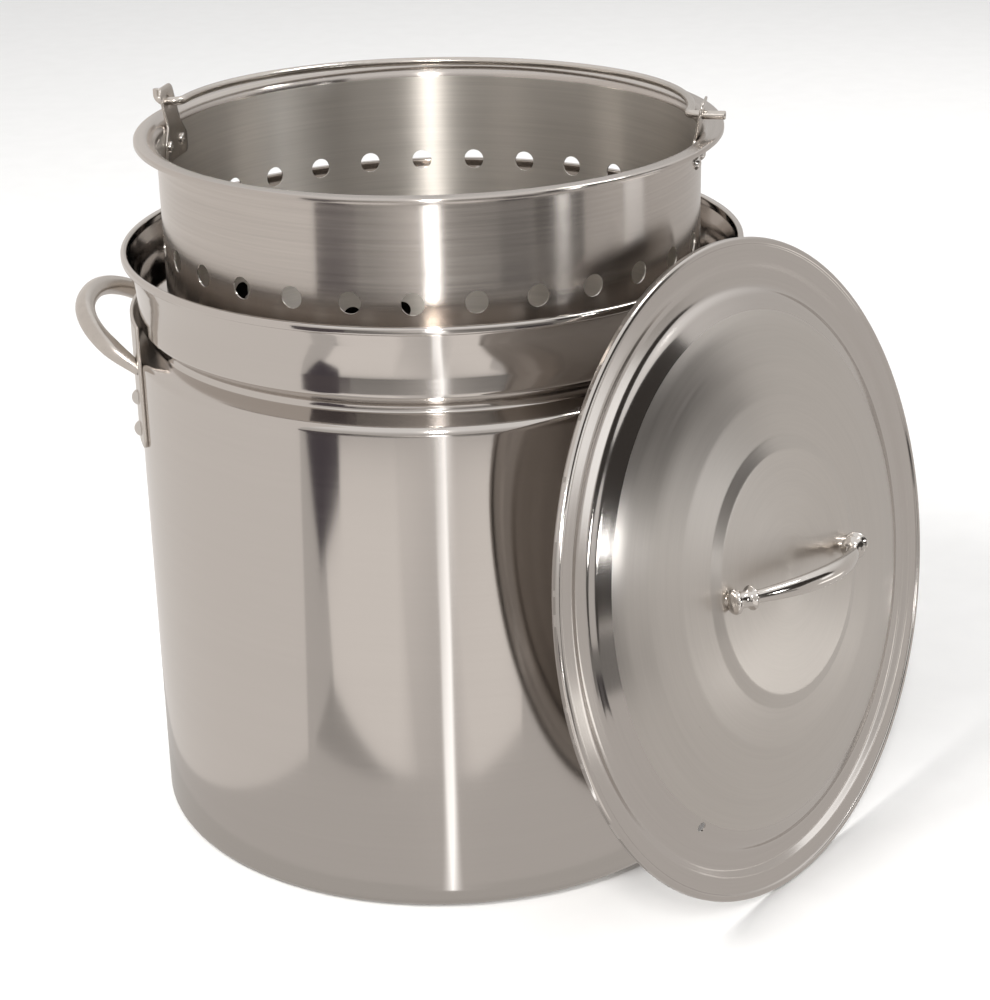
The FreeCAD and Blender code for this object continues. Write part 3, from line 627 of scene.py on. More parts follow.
def noise(tree, vector, scale, detail=3.0, rough=0.5):
    node = tree.nodes.new("ShaderNodeTexNoise")
    node.inputs["Scale"].default_value = scale
    node.inputs["Detail"].default_value = detail
    node.inputs["Roughness"].default_value = rough
    tree.links.new(vector, node.inputs["Vector"])
    return node.outputs["Fac"]


def ramp(tree, value, stops):
    node = tree.nodes.new("ShaderNodeValToRGB")
    while len(node.color_ramp.elements) < len(stops):
        node.color_ramp.elements.new(0.5)
    for element, (place, shade) in zip(node.color_ramp.elements, stops):
        element.position = place
        element.color = (*shade, 1.0)
    tree.links.new(value, node.inputs["Fac"])
    return node.outputs["Color"]


def spin_coordinates(tree, stretch, across):
    """Coordinates that run along circles about the piece's own Z: slow round, quick across."""
    own = tree.nodes.new("ShaderNodeAttribute")
    own.attribute_name = SPIN_PLACE
    where = own.outputs["Vector"]
    split = tree.nodes.new("ShaderNodeSeparateXYZ")
    tree.links.new(where, split.inputs[0])
    x, y, z = split.outputs
    radius = math_node(tree, "SQRT", math_node(tree, "ADD", math_node(tree, "MULTIPLY", x, x),
                                               math_node(tree, "MULTIPLY", y, y)))
    safe = math_node(tree, "MAXIMUM", radius, 0.002)
    joined = tree.nodes.new("ShaderNodeCombineXYZ")
    for socket, value, scale in ((0, math_node(tree, "DIVIDE", x, safe), stretch),
                                 (1, math_node(tree, "DIVIDE", y, safe), stretch),
                                 (2, math_node(tree, "ADD", radius, z), across)):
        tree.links.new(math_node(tree, "MULTIPLY", value, scale), joined.inputs[socket])
    return where, joined.outputs[0]


def steel(name, tint, rough, spread, grain_bump, wave_bump, anisotropy=0.0, grain_tint=0.06,
          grain=900.0, smudge=0.03, spun=True):
    """Stainless steel: tint and roughness vary with spun grain, smudges and slow waviness."""
    material, tree, shader = graph(name)
    links = tree.links
    if spun:
        where, around = spin_coordinates(tree, 1.6, grain)
    else:
        where = around = tree.nodes.new("ShaderNodeTexCoord").outputs["Object"]
    lines = noise(tree, around, 1.0 if spun else grain, 3.0, 0.6)
    broad = noise(tree, around, 0.06 if spun else grain * 0.08, 2.0)
    patch = noise(tree, where, 14.0, 4.0, 0.55)
    low = tuple(c * (1 - grain_tint) for c in tint)
    high = tuple(min(1.0, c * (1 + grain_tint)) for c in tint)
    mixed = math_node(tree, "ADD", math_node(tree, "MULTIPLY", lines, 0.55),
                      math_node(tree, "MULTIPLY", broad, 0.45))
    colour = ramp(tree, mixed, [(0.3, low), (0.5, tint), (0.7, high)])
    links.new(colour, shader.inputs["Base Color"])
    value = math_node(tree, "MULTIPLY_ADD", math_node(tree, "SUBTRACT", lines, 0.5), spread, rough)
    value = math_node(tree, "MULTIPLY_ADD", math_node(tree, "SUBTRACT", patch, 0.5), smudge, value)
    links.new(math_node(tree, "MAXIMUM", value, 0.02), shader.inputs["Roughness"])
    shader.inputs["Metallic"].default_value = 1.0
    shader.inputs["Anisotropic"].default_value = anisotropy
    if anisotropy:
        tangent_node = tree.nodes.new("ShaderNodeTangent")
        tangent_node.direction_type = "UV_MAP"
        tangent_node.uv_map = SPIN_UV
        links.new(tangent_node.outputs[0], shader.inputs["Tangent"])
        shader.inputs["Anisotropic Rotation"].default_value = 0.25
    normal = None
    for height, distance in ((noise(tree, where, 9.0, 1.0, 0.4), wave_bump), (lines, grain_bump)):
        bump = tree.nodes.new("ShaderNodeBump")
        bump.inputs["Strength"].default_value = 1.0
        bump.inputs["Distance"].default_value = distance
        links.new(height, bump.inputs["Height"])
        if normal is not None:
            links.new(normal, bump.inputs["Normal"])
        normal = bump.outputs[0]
    links.new(normal, shader.inputs["Normal"])
    return material


STEEL = (0.60, 0.565, 0.535)
pot_finish = steel("pot_mirror_steel", STEEL, 0.10, 0.04, 0.0000008, 0.0003, 0.80,
                   grain_tint=0.015)
basket_finish = steel("basket_brushed_steel", (0.57, 0.53, 0.495), 0.19, 0.08, 0.0000025, 0.0003,
                      0.92, grain_tint=0.08, grain=700.0, smudge=0.04)
basket_inside = steel("basket_satin_steel", (0.60, 0.565, 0.52), 0.42, 0.10, 0.000003, 0.0004,
                      0.97, grain_tint=0.10, grain=600.0, smudge=0.08)
lid_finish = steel("lid_steel", STEEL, 0.13, 0.05, 0.0000010, 0.0002, 0.45,
                   grain_tint=0.03, smudge=0.05)
lid_satin = steel("lid_satin_steel", (0.62, 0.585, 0.55), 0.30, 0.06, 0.0000015, 0.0003, 0.5,
                  grain_tint=0.04, smudge=0.06)
# the lid's underside: the lid steel made darker, painted shade
lid_underside_painted_shade = steel("lid_underside_painted_shade_steel", (0.40, 0.37, 0.345), 0.30, 0.06, 0.000002, 0.0003, 0.5,
                   grain_tint=0.05, smudge=0.06)
fitting_finish = steel("fitting_steel", (0.60, 0.56, 0.52), 0.25, 0.05, 0.000002, 0.0001,
                       grain_tint=0.06, grain=160.0, spun=False)
rivet_finish = steel("rivet_steel", (0.66, 0.63, 0.60), 0.2, 0.06, 0.000008, 0.0001,
                     grain_tint=0.05, grain=240.0, spun=False)
wire_finish = steel("wire_steel", (0.60, 0.56, 0.52), 0.2, 0.06, 0.000006, 0.0001,
                    grain_tint=0.05, grain=300.0, spun=False)
cast_finish = steel("cast_steel", (0.66, 0.625, 0.59), 0.12, 0.06, 0.00001, 0.0002,
                    grain_tint=0.04, grain=120.0, spun=False)


def install(piece, body, slot, material, *nodes):
    """Paint, check the size against the CAD nodes, ride and replace; slot is not used."""
    piece.data.materials.clear()
    piece.data.materials.append(material)
    bpy.context.view_layer.update()
    for axis in range(3):
        along = [(piece.matrix_world @ v.co)[axis] for v in piece.data.vertices]
        low = min(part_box(n)[0][axis] for n in nodes)
        high = max(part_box(n)[1][axis] for n in nodes)
        if abs(min(along) - low) > BOX_TOLERANCE or abs(max(along) - high) > BOX_TOLERANCE:
            print("SIZE DIFFERS", piece.name, "xyz"[axis])
    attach(piece, body)
    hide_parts(*nodes)


# ---- pot
def make_pot():
    verts, faces = spun_shell(sample_path(POT_PATH), POT_SHEET, 320)
    pot = finish_mesh("pot_body_shell", verts, faces)
    install(pot, "pot", "pot_steel", pot_finish, "pot_shell")


def loop_points(bearing, steps=72):
    start_radius = math.sqrt(POT_WALL_RADIUS ** 2 - LOOP_HALF_WIDTH ** 2)
    rise = math.tan(math.radians(LOOP_TILT))
    centres, radii = [], []
    for index in range(steps + 1):
        angle = math.radians(-90 + 180 * index / steps)
        side = LOOP_HALF_WIDTH * math.copysign(abs(math.sin(angle)) ** LOOP_POWER, angle)
        out = (LOOP_REACH - start_radius) * max(math.cos(angle), 0) ** LOOP_POWER
        centre = radial(bearing) * (start_radius + out) + tangent(bearing) * side
        centres.append(centre + Vector((0, 0, LOOP_END_Z + out * rise)))
        ease = min(1.0, out / LOOP_DRAW)
        ease = ease * ease * (3 - 2 * ease)
        radii.append((LOOP_END_ROD + (LOOP_ROD - LOOP_END_ROD) * ease) / 2)
    return centres, radii


def make_pot_handle(side, bearing):
    centres, radii = loop_points(bearing)
    verts, faces = swept(centres, [circle(r) for r in radii])
    seat = POT_WALL_RADIUS + PLATE_SHEET
    pushed = []
    for x, y, z in verts:
        out = math.hypot(x, y)
        scale = max(1.0, (seat - LOOP_OVERLAP) / out)
        pushed.append((x * scale, y * scale, z))
    loop = finish_mesh("pot_handle_rod_" + side, pushed, faces, 50)
    install(loop, "pot", "fitting_steel", fitting_finish, "pot_handle_" + side + "_loop")

    edge = POT_WALL_RADIUS * math.radians(PLATE_HALF_ANGLE)
    tab = 2 * POT_WALL_RADIUS * math.radians(PLATE_TAB_ANGLE)
    corners = [(-edge, PLATE_TAB_LOW_Z, 6), (-edge + tab, PLATE_TAB_LOW_Z, 6),
               (-edge + tab, PLATE_STRAP_LOW_Z, 1.2), (edge - tab, PLATE_STRAP_LOW_Z, 1.2),
               (edge - tab, PLATE_TAB_LOW_Z, 6), (edge, PLATE_TAB_LOW_Z, 6),
               (edge, PLATE_TOP_Z, 0.8), (-edge, PLATE_TOP_Z, 0.8)]

    def bend(x, y, depth):
        place = bearing + math.degrees(x / POT_WALL_RADIUS)
        point = radial(place) * (seat - depth)
        return (point.x, point.y, y)

    verts, faces = cut_sheet(dense(rounded_outline(corners)), [], bend, PLATE_SHEET)
    plate = finish_mesh("pot_handle_strap_" + side, verts, faces, 50)
    install(plate, "pot", "fitting_steel", fitting_finish, "pot_handle_" + side + "_plate")

    reach = PLATE_HALF_ANGLE - PLATE_TAB_ANGLE
    for letter, place in (("a", bearing - reach), ("b", bearing + reach)):
        parts = []
        for height in RIVET_HEIGHTS:
            centre = radial(place) * seat + Vector((0, 0, height))
            parts.append(rivet(centre, radial(place), PLATE_SHEET + POT_SHEET + RIVET_SLACK, *POT_RIVET))
        verts, faces = merged(parts)
        pair = finish_mesh("pot_rivets_" + side + "_" + letter, verts, faces, 50)
        node = "pot_handle_" + side + "_rivets_" + letter
        install(pair, "pot", "fitting_steel", rivet_finish, node)


# ---- basket
def basket_floor(segments, start, rim_radius):
    """The floor's two skins with their punched holes; its rim points are the wall's lowest row."""
    points = []
    for j in range(segments):
        angle = start + 2 * math.pi * j / segments
        points.append(Vector((math.cos(angle) * rim_radius, math.sin(angle) * rim_radius)))
    edges = [(k, (k + 1) % segments) for k in range(segments)]
    centres = []
    for ring, many in FLOOR_HOLE_RINGS:
        centres += [radial(index * 360.0 / many) * ring for index in range(many)]
    for centre in centres:
        base = len(points)
        for x, y in circle(HOLE_RADIUS, FLOOR_HOLE_STEPS):
            points.append(Vector((centre.x + x, centre.y + y)))
        edges += [(base + k, base + (k + 1) % FLOOR_HOLE_STEPS) for k in range(FLOOR_HOLE_STEPS)]
    reach = int(rim_radius / FLOOR_SPACING) + 1
    for i in range(-reach, reach + 1):
        for j in range(-reach, reach + 1):
            shift = FLOOR_SPACING / 2 if j % 2 else 0
            p = Vector((i * FLOOR_SPACING + shift, j * FLOOR_SPACING * FLOOR_ROW_SHARE))
            clear = all((p - c.xy).length > HOLE_RADIUS + 2.5 for c in centres)
            if clear and p.length < rim_radius - 4:
                points.append(p)
    flat, _, triangles, _, _, _ = delaunay_2d_cdt(points, edges, [], 0, 1e-6)
    upper, lower = [[(p.x, p.y, BASKET_FLOOR_Z + side * BASKET_SHEET / 2) for p in flat]
                    for side in (1, -1)]
    faces = []
    for face in triangles:
        middle = sum((flat[k] for k in face), Vector((0, 0))) / len(face)
        if any((middle - c.xy).length < HOLE_RADIUS * 0.985 for c in centres):
            continue
        faces.append(list(face))
        faces.append([len(flat) + k for k in reversed(face)])
    for base in range(segments, segments + len(centres) * FLOOR_HOLE_STEPS, FLOOR_HOLE_STEPS):
        ring = list(range(base, base + FLOOR_HOLE_STEPS))
        faces += band(ring, [len(flat) + k for k in ring])
    return upper + lower, faces


def make_basket():
    step = HOLE_ROW_PITCH / CELL_STEPS
    lowest = FIRST_ROW_Z - (HOLE_ROWS - 1) * HOLE_ROW_PITCH - LOW_CELL_STEPS * step
    count = round((FIRST_ROW_Z + HOLE_ROW_PITCH / 2 - lowest) / step)
    heights = [lowest + step * k for k in range(count + 1)]
    rows = sample_path(BASKET_PATH, run_step=5.0, stations={1: heights})
    first = min(range(len(rows)),
                key=lambda k: abs(rows[k][1] - lowest) + abs(rows[k][0] - BASKET_MID_RADIUS))
    segments = HOLES_PER_ROW * CELL_STEPS
    half = CELL_STEPS // 2
    windows = []
    for row in range(HOLE_ROWS):
        z = FIRST_ROW_Z - row * HOLE_ROW_PITCH
        ci = first + round((z - lowest) / step)
        i0 = max(first, ci - half)
        for index in range(HOLES_PER_ROW):
            cj = index * CELL_STEPS + (half if row % 2 else 0)
            windows.append((i0, ci + half, cj - half, cj + half, ci, cj, HOLE_RADIUS))
    skip = max(k for k in range(len(rows)) if rows[k][0] <= FLOOR_EDGE_RADIUS)
    start = math.radians(FIRST_HOLE_BEARING - 90)
    wall = spun_shell(rows, BASKET_SHEET, segments, start, windows, skip)
    verts, faces = merged([wall, basket_floor(segments, start, rows[skip][0])])
    basket = finish_mesh("basket_body_shell", verts, faces, 40)
    install(basket, "basket", "basket_steel", basket_finish, "basket_shell")
    basket.data.materials.append(basket_inside)
    for face in basket.data.polygons:
        outward = face.normal.x * face.center.x + face.normal.y * face.center.y
        if outward < 0 and face.center.z < BASKET_LIP_Z * MM:
            face.material_index = 1


def make_ear(side, bearing):
    inner_wall = BASKET_WALL_RADIUS - BASKET_SHEET
    mid = inner_wall - EAR_SHEET / 2
    slope = math.tan(math.radians(EAR_LEAN))
    # the path is a little longer than the blank at both ends
    path = [(mid, EAR_LOW_Z - 5, 0), (mid, EAR_LEAN_Z, EAR_LEAN_BEND),
            (mid + slope * 30, EAR_LEAN_Z + 30, 0)]
    rows = sample_path(path, run_step=2.0, turn_step=2.0)

    def bend(x, z, depth):
        k = 0
        while k < len(rows) - 2 and rows[k + 1][1] < z:
            k += 1
        a, b = rows[k], rows[k + 1]
        t = (z - a[1]) / (b[1] - a[1])
        nr = a[2] + (b[2] - a[2]) * t
        nz = a[3] + (b[3] - a[3]) * t
        offset = depth - EAR_SHEET / 2
        radius = a[0] + (b[0] - a[0]) * t
        swing = math.asin(x / radius)
        point = radial(bearing + math.degrees(swing)) * (radius + nr * offset)
        return (point.x, point.y, z + nz * offset)

    foot, neck = EAR_FOOT_HALF_WIDTH, EAR_HALF_WIDTH
    corners = [(-foot, EAR_LOW_Z), (foot, EAR_LOW_Z), (foot, EAR_FOOT_TOP_Z), (neck, EAR_NECK_Z),
               (neck, EAR_TOP_Z), (-neck, EAR_TOP_Z), (-neck, EAR_NECK_Z), (-foot, EAR_FOOT_TOP_Z)]
    corners = [(x, z, EAR_CORNER) for x, z in corners]
    hole = [(x, BAIL_PIVOT_Z - z) for x, z in circle(EAR_HOLE_RADIUS, 28)]
    verts, faces = cut_sheet(dense(rounded_outline(corners), 2.0), [hole], bend, EAR_SHEET, 2.0)
    ear = finish_mesh("basket_ear_sheet_" + side, verts, faces, 50)
    install(ear, "basket", "fitting_steel", fitting_finish, "basket_ear_" + side)
    step = math.degrees(EAR_RIVET_SPACING / 2 / inner_wall)
    parts = []
    for place in (bearing - step, bearing + step):
        centre = radial(place) * BASKET_WALL_RADIUS + Vector((0, 0, EAR_RIVET_Z))
        parts.append(rivet(centre, radial(place), BASKET_SHEET + EAR_SHEET + RIVET_SLACK, *EAR_RIVET))
    verts, faces = merged(parts)
    pair = finish_mesh("basket_rivets_" + side, verts, faces, 50)
    install(pair, "basket", "fitting_steel", rivet_finish, "basket_ear_rivets_" + side)


def make_bail():
    axis = radial(BAIL_AXIS_BEARING)
    back = tangent(BAIL_AXIS_BEARING)
    up = Vector((0, 0, 1))
    pivot = up * BAIL_PIVOT_Z
    drop = math.asin((BAIL_PIVOT_Z - BAIL_REST_Z) / BAIL_REACH)
    lie = back * math.cos(drop) - up * math.sin(drop)
    lift = back * math.sin(drop) + up * math.cos(drop)
    straight = BAIL_INSIDE_RADIUS + BAIL_BEND - BAIL_RIGHT_TIP
    centres = [pivot + axis * (BAIL_RIGHT_TIP + straight * k / 6) for k in range(6)]

    def bend(side, k):
        angle = math.pi / 2 * k / 8
        across = BAIL_INSIDE_RADIUS + BAIL_BEND * (1 - math.sin(angle))
        return pivot + axis * (side * across) + lie * (BAIL_BEND * (1 - math.cos(angle)))

    centres += [bend(1, k) for k in range(9)]
    for k in range(1, 96):
        angle = math.pi * k / 96
        centres.append(pivot + axis * (BAIL_INSIDE_RADIUS * math.cos(angle))
                       + lie * (BAIL_BEND + (BAIL_REACH - BAIL_BEND) * math.sin(angle)))
    centres += [bend(-1, k) for k in range(8, -1, -1)]
    turn = BAIL_LEFT_TURN_BEND
    for k in range(9):
        angle = math.pi / 2 * k / 8
        centres.append(pivot - axis * (BAIL_LEFT_TURN - turn + turn * math.sin(angle))
                       + lift * (turn * (1 - math.cos(angle))))
    centres.append(pivot - axis * BAIL_LEFT_TURN + lift * (BAIL_LEFT_HOOK - BAIL_TIP))
    right = centres[0].copy()
    centres[0] = right - (right - centres[1]).normalized() * BAIL_TIP
    centres.insert(0, right)
    centres.append(centres[-1] + (centres[-1] - centres[-2]).normalized() * BAIL_TIP)
    tip = circle(BAIL_WIRE / 2 - BAIL_TIP_DRAW, 24)
    sections = [tip] + [circle(BAIL_WIRE / 2, 24) for _ in centres[1:-1]] + [tip]
    verts, faces = swept(centres, sections)
    wire = finish_mesh("basket_bail_wire", verts, faces, 40)
    install(wire, "bail", "wire_steel", wire_finish, "basket_bail")


# ---- lid
def lid_place():
    bearing = math.radians(LID_BEARING)
    lean = math.radians(LID_LEAN)
    facing = Vector((math.sin(bearing) * math.cos(lean), -math.cos(bearing) * math.cos(lean),
                     math.sin(lean)))
    level = tangent(LID_BEARING)
    rise = facing.cross(level)
    place = Matrix((level, rise, facing)).transposed().to_4x4()
    place.translation = Vector(LID_CENTRE) * MM
    return place


def make_lid():
    segments = 384
    stations = [VENT_AT + VENT_ROW * (k - 4) for k in range(8)]
    rows = sample_path(LID_PATH, run_step=6.0, turn_step=5.0, stations={5: stations})
    first = min(range(len(rows)), key=lambda k: abs(rows[k][0] - stations[0]))
    ci = first + 4
    start = math.radians(VENT_ANGLE)
    window = (first, first + 7, -2, 2, ci, 0, VENT_RADIUS)
    verts, faces = spun_shell(rows, LID_SHEET, segments, start, [window])
    lid = finish_mesh("lid_body_shell", verts, faces, 35, lid_place())
    install(lid, "lid", "lid_steel", lid_finish, "lid_shell")
    lid.data.materials.append(lid_satin)
    lid.data.materials.append(lid_underside_painted_shade)
    home = lid_place().inverted()
    for face in lid.data.polygons:
        centre = home @ face.center
        # faces that look down into the lid take the darker steel: painted shade on the underside
        if (home.to_3x3() @ face.normal).z < 0:
            face.material_index = 2
        elif math.hypot(centre.x, centre.y) < LID_SATIN_RADIUS * MM:
            face.material_index = 1


def grip_height(offset):
    ratio = offset / KNUCKLE_OFFSET
    return KNUCKLE_RISE + (GRIP_APEX - KNUCKLE_RISE) * (1 - abs(ratio) ** GRIP_ARCH)


def make_lid_handle():
    centres, sections = [], []
    steps = 72
    for k in range(steps + 1):
        offset = -KNUCKLE_OFFSET + 2 * KNUCKLE_OFFSET * k / steps
        fullness = 1 - abs(offset / KNUCKLE_OFFSET) ** 2
        wide = GRIP_NECK + (GRIP_WIDE - GRIP_NECK) * fullness
        thick = GRIP_NECK + (GRIP_THICK - GRIP_NECK) * fullness
        centres.append(Vector((offset, 0, grip_height(offset))))
        sections.append([(a * wide / 2, b * thick / 2) for a, b in circle(1.0, 32)])
    parts = [swept(centres, sections)]
    for side in (-1, 1):
        knuckle = Vector((side * KNUCKLE_OFFSET, 0, KNUCKLE_RISE))
        foot = Vector((side * FOOT_OFFSET, 0, FOOT_RISE))
        run = foot - knuckle
        length = run.length
        # (along, radius): the knuckle's ring, the stub's neck, and the collar at its end
        outline = [(-5, 0), (-5, 3.3), (-3.4, 3.7), (-1.6, 5.3), (-0.6, 6.8), (0.0, 7.0),
                   (0.6, 6.8), (1.6, 5.4), (3.0, 4.5)]
        collar = [(-3.4, 4.7), (-2.6, 5.1), (-2.1, 6.5), (-1.6, 7.0), (-0.2, 7.0), (0.6, 6.4),
                  (1.3, 4.8), (2.0, 0)]
        outline += [(length + along, radius) for along, radius in collar]
        parts.append(turned(outline, knuckle, run))
        parts.append(turned(FOOT_PAD, Vector((side * FOOT_PAD_OFFSET, 0, 0)), (0, 0, 1)))
    verts, faces = merged(parts)
    flat = [(x, y, max(z, 0.0)) for x, y, z in verts]
    swing = Matrix.Rotation(math.radians(GRIP_ANGLE), 3, "Z")
    moved = [tuple(swing @ Vector(v) + Vector((0, 0, LID_PANEL_TOP))) for v in flat]
    bow = finish_mesh("lid_bow_handle", moved, faces, 50, lid_place())
    install(bow, "lid", "cast_steel", cast_finish, "lid_handle_bow")
    for name in ("lid_handle_screws", "lid_handle_washers"):
        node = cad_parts[name]
        node.data.materials.clear()
        node.data.materials.append(rivet_finish)


make_pot()
make_pot_handle("left", LEFT_HANDLE_BEARING)
make_pot_handle("right", LEFT_HANDLE_BEARING + 180)
make_basket()
make_ear("left", BAIL_AXIS_BEARING - 180)
make_ear("right", BAIL_AXIS_BEARING)
make_bail()
make_lid()
make_lid_handle()


# ---- studio
def emission(name, colour, strength, fade=None):
    """Glow; fade names a mesh attribute, 0 where the glow is full and 1 where it ends."""
    material = bpy.data.materials.new(name)
    material.use_nodes = True
    tree = material.node_tree
    tree.nodes.clear()
    output = tree.nodes.new("ShaderNodeOutputMaterial")
    glow = tree.nodes.new("ShaderNodeEmission")
    glow.inputs["Color"].default_value = (*colour, 1)
    glow.inputs["Strength"].default_value = strength
    surface = glow.outputs[0]
    if fade:
        mark = tree.nodes.new("ShaderNodeAttribute")
        mark.attribute_name = fade
        share = math_node(tree, "SUBTRACT", 1.0, mark.outputs["Fac"])
        share = math_node(tree, "MAXIMUM", share, 0.0)
        share = math_node(tree, "POWER", share, 2.0)
        clear = tree.nodes.new("ShaderNodeBsdfTransparent")
        mix = tree.nodes.new("ShaderNodeMixShader")
        tree.links.new(share, mix.inputs[0])
        tree.links.new(clear.outputs[0], mix.inputs[1])
        tree.links.new(glow.outputs[0], mix.inputs[2])
        surface = mix.outputs[0]
    tree.links.new(surface, output.inputs[0])
    return material


def glowing(name, verts, faces, colour, strength, fade=None):
    """Mesh in metres that only polished metal sees."""
    mesh = bpy.data.meshes.new(name)
    mesh.from_pydata(verts, [], faces)
    mesh.materials.append(emission(name + "_look", colour, strength, fade))
    obj = bpy.data.objects.new(name, mesh)
    bpy.context.scene.collection.objects.link(obj)
    obj.visible_camera = False
    obj.visible_shadow = False
    obj.visible_diffuse = False
    return mesh


def card(name, corners, colour, strength):
    """Flat card through corners in metres."""
    glowing(name, corners, [tuple(range(len(corners)))], colour, strength)


def strip(name, start, end, half_start, half_end, height, colour, strength):
    """Soft-edged glowing strip lying between two floor points, wider at its far end."""
    a, b = Vector((*start, height)), Vector((*end, height))
    side = (b - a).cross(Vector((0, 0, 1))).normalized()
    corners = [a - side * half_start, a, a + side * half_start,
               b + side * half_end, b, b - side * half_end]
    mesh = glowing(name, corners, [(0, 1, 4, 5), (1, 2, 3, 4)], colour, strength, "across")
    mark = mesh.attributes.new("across", "FLOAT", "POINT")
    for index, value in enumerate((1.0, 0.0, 1.0, 1.0, 0.0, 1.0)):
        mark.data[index].value = value


def area(name, place, aim, size, power, reflected=False):
    light = bpy.data.lights.new(name, "AREA")
    light.shape = "RECTANGLE"
    light.size, light.size_y = size
    light.energy = power
    light.color = (1.0, 0.985, 0.965)
    obj = bpy.data.objects.new(name, light)
    bpy.context.scene.collection.objects.link(obj)
    obj.location = place
    obj.rotation_euler = (Vector(place) - Vector(aim)).to_track_quat("Z", "Y").to_euler()
    obj.visible_camera = False
    obj.visible_glossy = reflected


def make_floor():
    size = 8.0
    mesh = bpy.data.meshes.new("studio_floor")
    corners = [(-size, -size, 0), (size, -size, 0), (size, size, 0), (-size, size, 0)]
    mesh.from_pydata(corners, [], [(0, 1, 2, 3)])
    floor = bpy.data.objects.new("studio_floor", mesh)
    bpy.context.scene.collection.objects.link(floor)
    material, tree, shader = graph("floor_paper")
    where = tree.nodes.new("ShaderNodeTexCoord").outputs["Object"]
    grain = noise(tree, where, 30.0, 4.0)
    paper = ramp(tree, grain, [(0.3, (0.86, 0.858, 0.855)), (0.7, (0.88, 0.878, 0.875))])
    tree.links.new(paper, shader.inputs["Base Color"])
    shader.inputs["Roughness"].default_value = 0.9
    floor.data.materials.append(material)
    floor.visible_glossy = False


def make_world():
    """Even white for the paper floor; in reflections a room that is brighter overhead."""
    world = bpy.data.worlds.new("studio_world")
    bpy.context.scene.world = world
    world.use_nodes = True
    tree = world.node_tree
    background = tree.nodes["Background"]
    where = tree.nodes.new("ShaderNodeTexCoord").outputs["Generated"]
    split = tree.nodes.new("ShaderNodeSeparateXYZ")
    tree.links.new(where, split.inputs[0])
    height = math_node(tree, "MULTIPLY_ADD", split.outputs[2], 0.5, 0.5)
    room = ramp(tree, height, [(0.0, (0.50, 0.48, 0.455)), (0.5, (0.60, 0.575, 0.55)),
                               (0.62, (0.62, 0.60, 0.58)), (0.8, (0.95, 0.94, 0.93))])
    path = tree.nodes.new("ShaderNodeLightPath")
    mix = tree.nodes.new("ShaderNodeMix")
    mix.data_type = "RGBA"
    tree.links.new(path.outputs["Is Glossy Ray"], mix.inputs[0])
    mix.inputs[6].default_value = (PAPER_WHITE, PAPER_WHITE, PAPER_WHITE, 1)
    tree.links.new(room, mix.inputs[7])
    tree.links.new(mix.outputs[2], background.inputs["Color"])
    background.inputs["Strength"].default_value = 1.0


def flat(points, height):
    return [(x, y, height) for x, y in points]


def arc(start, end, radius, height, steps=11):
    """Points along a level circle about Z, between two bearings."""
    bearings = [start + (end - start) * k / steps for k in range(steps + 1)]
    return flat([(radial(b) * radius).xy for b in bearings], height)


def sector(start, end, inner, outer, height):
    """Corners of a floor sector between two bearings and two radii."""
    return arc(start, end, outer, height) + arc(end, start, inner, height)


def curtain(name, centre, distance, edge, colour, strength):
    """Upright curved card around a centre, from (bearing, lowest, highest elevation) in degrees."""
    verts, faces = [], []
    for bearing, low, high in edge:
        foot = radial(bearing) * distance + Vector(centre)
        verts.append(foot + Vector((0, 0, distance * math.tan(math.radians(low)))))
        verts.append(foot + Vector((0, 0, distance * math.tan(math.radians(high)))))
    for k in range(0, len(verts) - 2, 2):
        faces.append((k, k + 2, k + 3, k + 1))
    glowing(name, verts, faces, colour, strength)


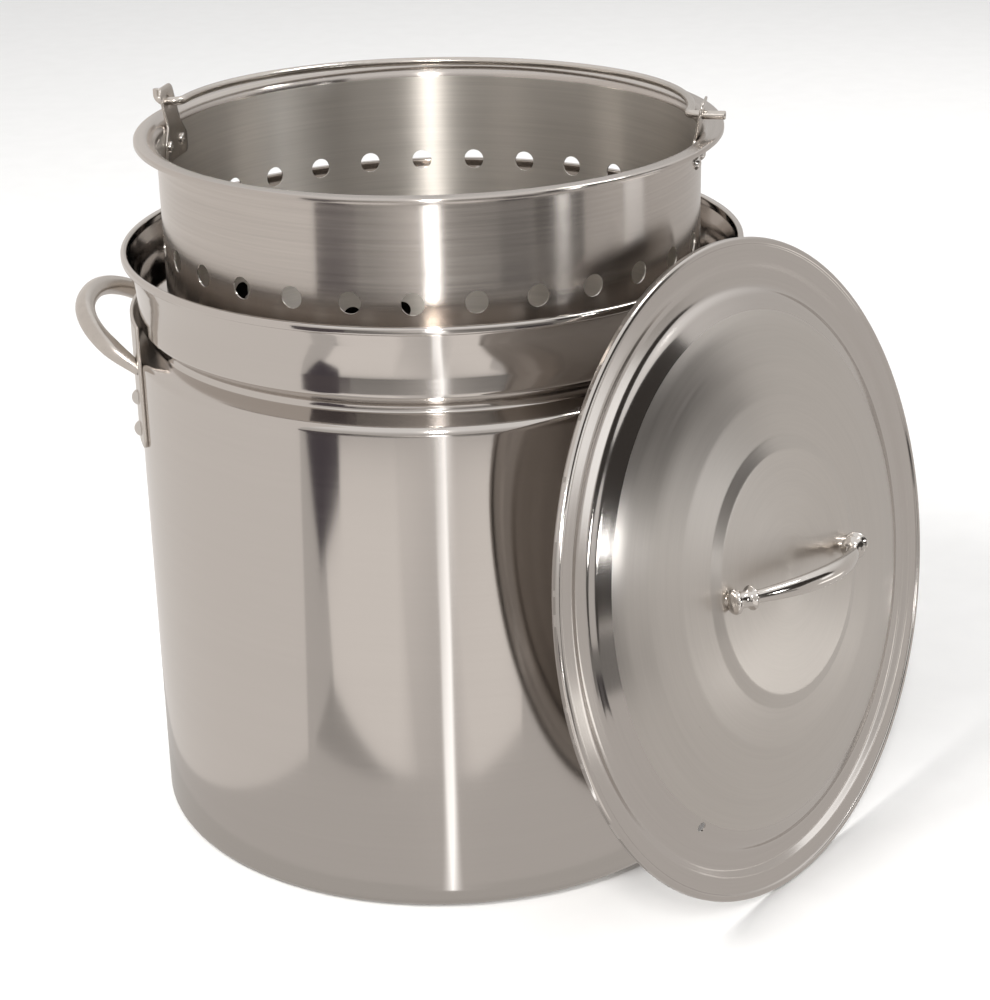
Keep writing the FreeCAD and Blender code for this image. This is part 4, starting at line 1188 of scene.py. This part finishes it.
def make_cards():
    """What the steel reflects; cards that overlap lie at their own heights."""
    low = 0.002
    count = 48
    inner, outer = 0.2, 5.0
    verts, faces = [], []
    for k in range(count):
        angle = 2 * math.pi * k / count
        verts.append((math.cos(angle) * inner, math.sin(angle) * inner, low))
        verts.append((math.cos(angle) * outer, math.sin(angle) * outer, low))
    for k in range(count):
        m = (k + 1) % count
        faces.append((2 * k, 2 * k + 1, 2 * m + 1, 2 * m))
    glowing("card_table", verts, faces, WARM, 0.60)
    card("card_far_front", sector(-34, 62, 0.96, 3.5, 0.003), WARM, 0.22)
    near_edge = [(-0.24, -0.35), (-0.11, -0.32), (0.05, -0.325), (0.14, -0.355), (0.17, -0.40),
                 (0.18, -0.5), (0.24, -0.75)]
    card("card_board", flat(near_edge, 0.004) + arc(24, -33, 0.955, 0.004)
         + flat([(-0.44, -0.66), (-0.42, -0.52)], 0.004), WARM, 0.92)
    card("card_dark_gap", flat([(-0.42, -0.49), (-0.44, -0.66)], 0.005)
         + arc(-34, -34, 1.0, 0.005)[:1] + arc(-34, -52, 2.2, 0.005)
         + flat([(-0.74, -0.70)], 0.005), (1.0, 0.85, 1.0), 0.075)
    card("card_dark_right", sector(26, 39, 0.72, 1.25, 0.006), (1.0, 0.9, 0.95), 0.06)
    card("card_dark_left", sector(-47, -30, 1.0, 2.4, 0.0065), (1.0, 0.85, 0.9), 0.10)
    card("card_shade", flat([(-0.26, -0.36), (-0.225, -0.27), (-0.08, -0.31)], 0.005), WARM, 0.40)
    card("card_left_panel",
         [(-0.22, -0.25, 0.0), (-0.22, 0.5, 0.0), (-0.22, 0.5, 0.7), (-0.24, -0.33, 0.7)],
         WARM, 0.80)
    curtain("card_dark_flag", (0.10, -0.20, 0.20), 1.0, FLAG_EDGE, (1.0, 0.88, 0.8), 0.045)
    card("card_lamp",
         [(0.79, -0.72, 0.37), (0.83, -0.64, 0.37), (0.83, -0.64, 0.47), (0.79, -0.72, 0.47)],
         WHITE, 22.0)
    strip("strip_pot_core", (0.0, -0.185), (0.045, -1.25), 0.008, 0.085, 0.0075, WHITE, 1.9)
    strip("strip_pot_glow", (0.0, -0.185), (0.045, -1.25), 0.05, 0.40, 0.007, WARM, 0.62)
    strip("strip_basket_core", (0.0, -1.27), (0.0, -2.8), 0.11, 0.25, 0.0085, WHITE, 11.0)
    strip("strip_basket_glow", (-0.15, -1.27), (-0.34, -2.8), 0.52, 1.2, 0.008, WARM, 0.9)
    card("card_side_window",
         [(1.02, -0.02, 1.35), (0.98, 0.14, 1.35), (0.98, 0.14, 2.4), (1.02, -0.02, 2.4)],
         WHITE, 24.0)
    curtain("card_side_light", (0.20, -0.10, 0.20), 1.0, SIDE_LIGHT_EDGE, WHITE, 1.4)
    card("card_side_table",
         flat([(0.60, -0.18), (0.80, -0.16), (0.76, 0.10), (0.58, 0.02)], 0.009),
         (1, 0.98, 0.95), 1.7)


def make_lights():
    area("key_softbox", (-1.5, -1.1, 2.3), (0, 0, 0.15), (0.8, 0.8), 52)
    area("flash", (-0.02, -1.62, 1.25), (0, 0, 0.3), (0.12, 0.40), 14, reflected=True)
    area("back_softbox", (0.9, 1.6, 1.9), (0, 0, 0.2), (0.9, 0.9), 16)


def make_camera():
    data = bpy.data.cameras.new("photo_camera")
    data.sensor_width = 36.0
    data.lens = CAMERA_LENS
    data.clip_start = 0.02
    camera = bpy.data.objects.new("photo_camera", data)
    bpy.context.scene.collection.objects.link(camera)
    camera.location = CAMERA_PLACE
    camera.rotation_euler = [math.radians(a) for a in CAMERA_TURN]
    bpy.context.scene.camera = camera
    bpy.context.scene.view_settings.view_transform = "Standard"


make_floor()
make_world()
make_cards()
make_lights()
make_camera()
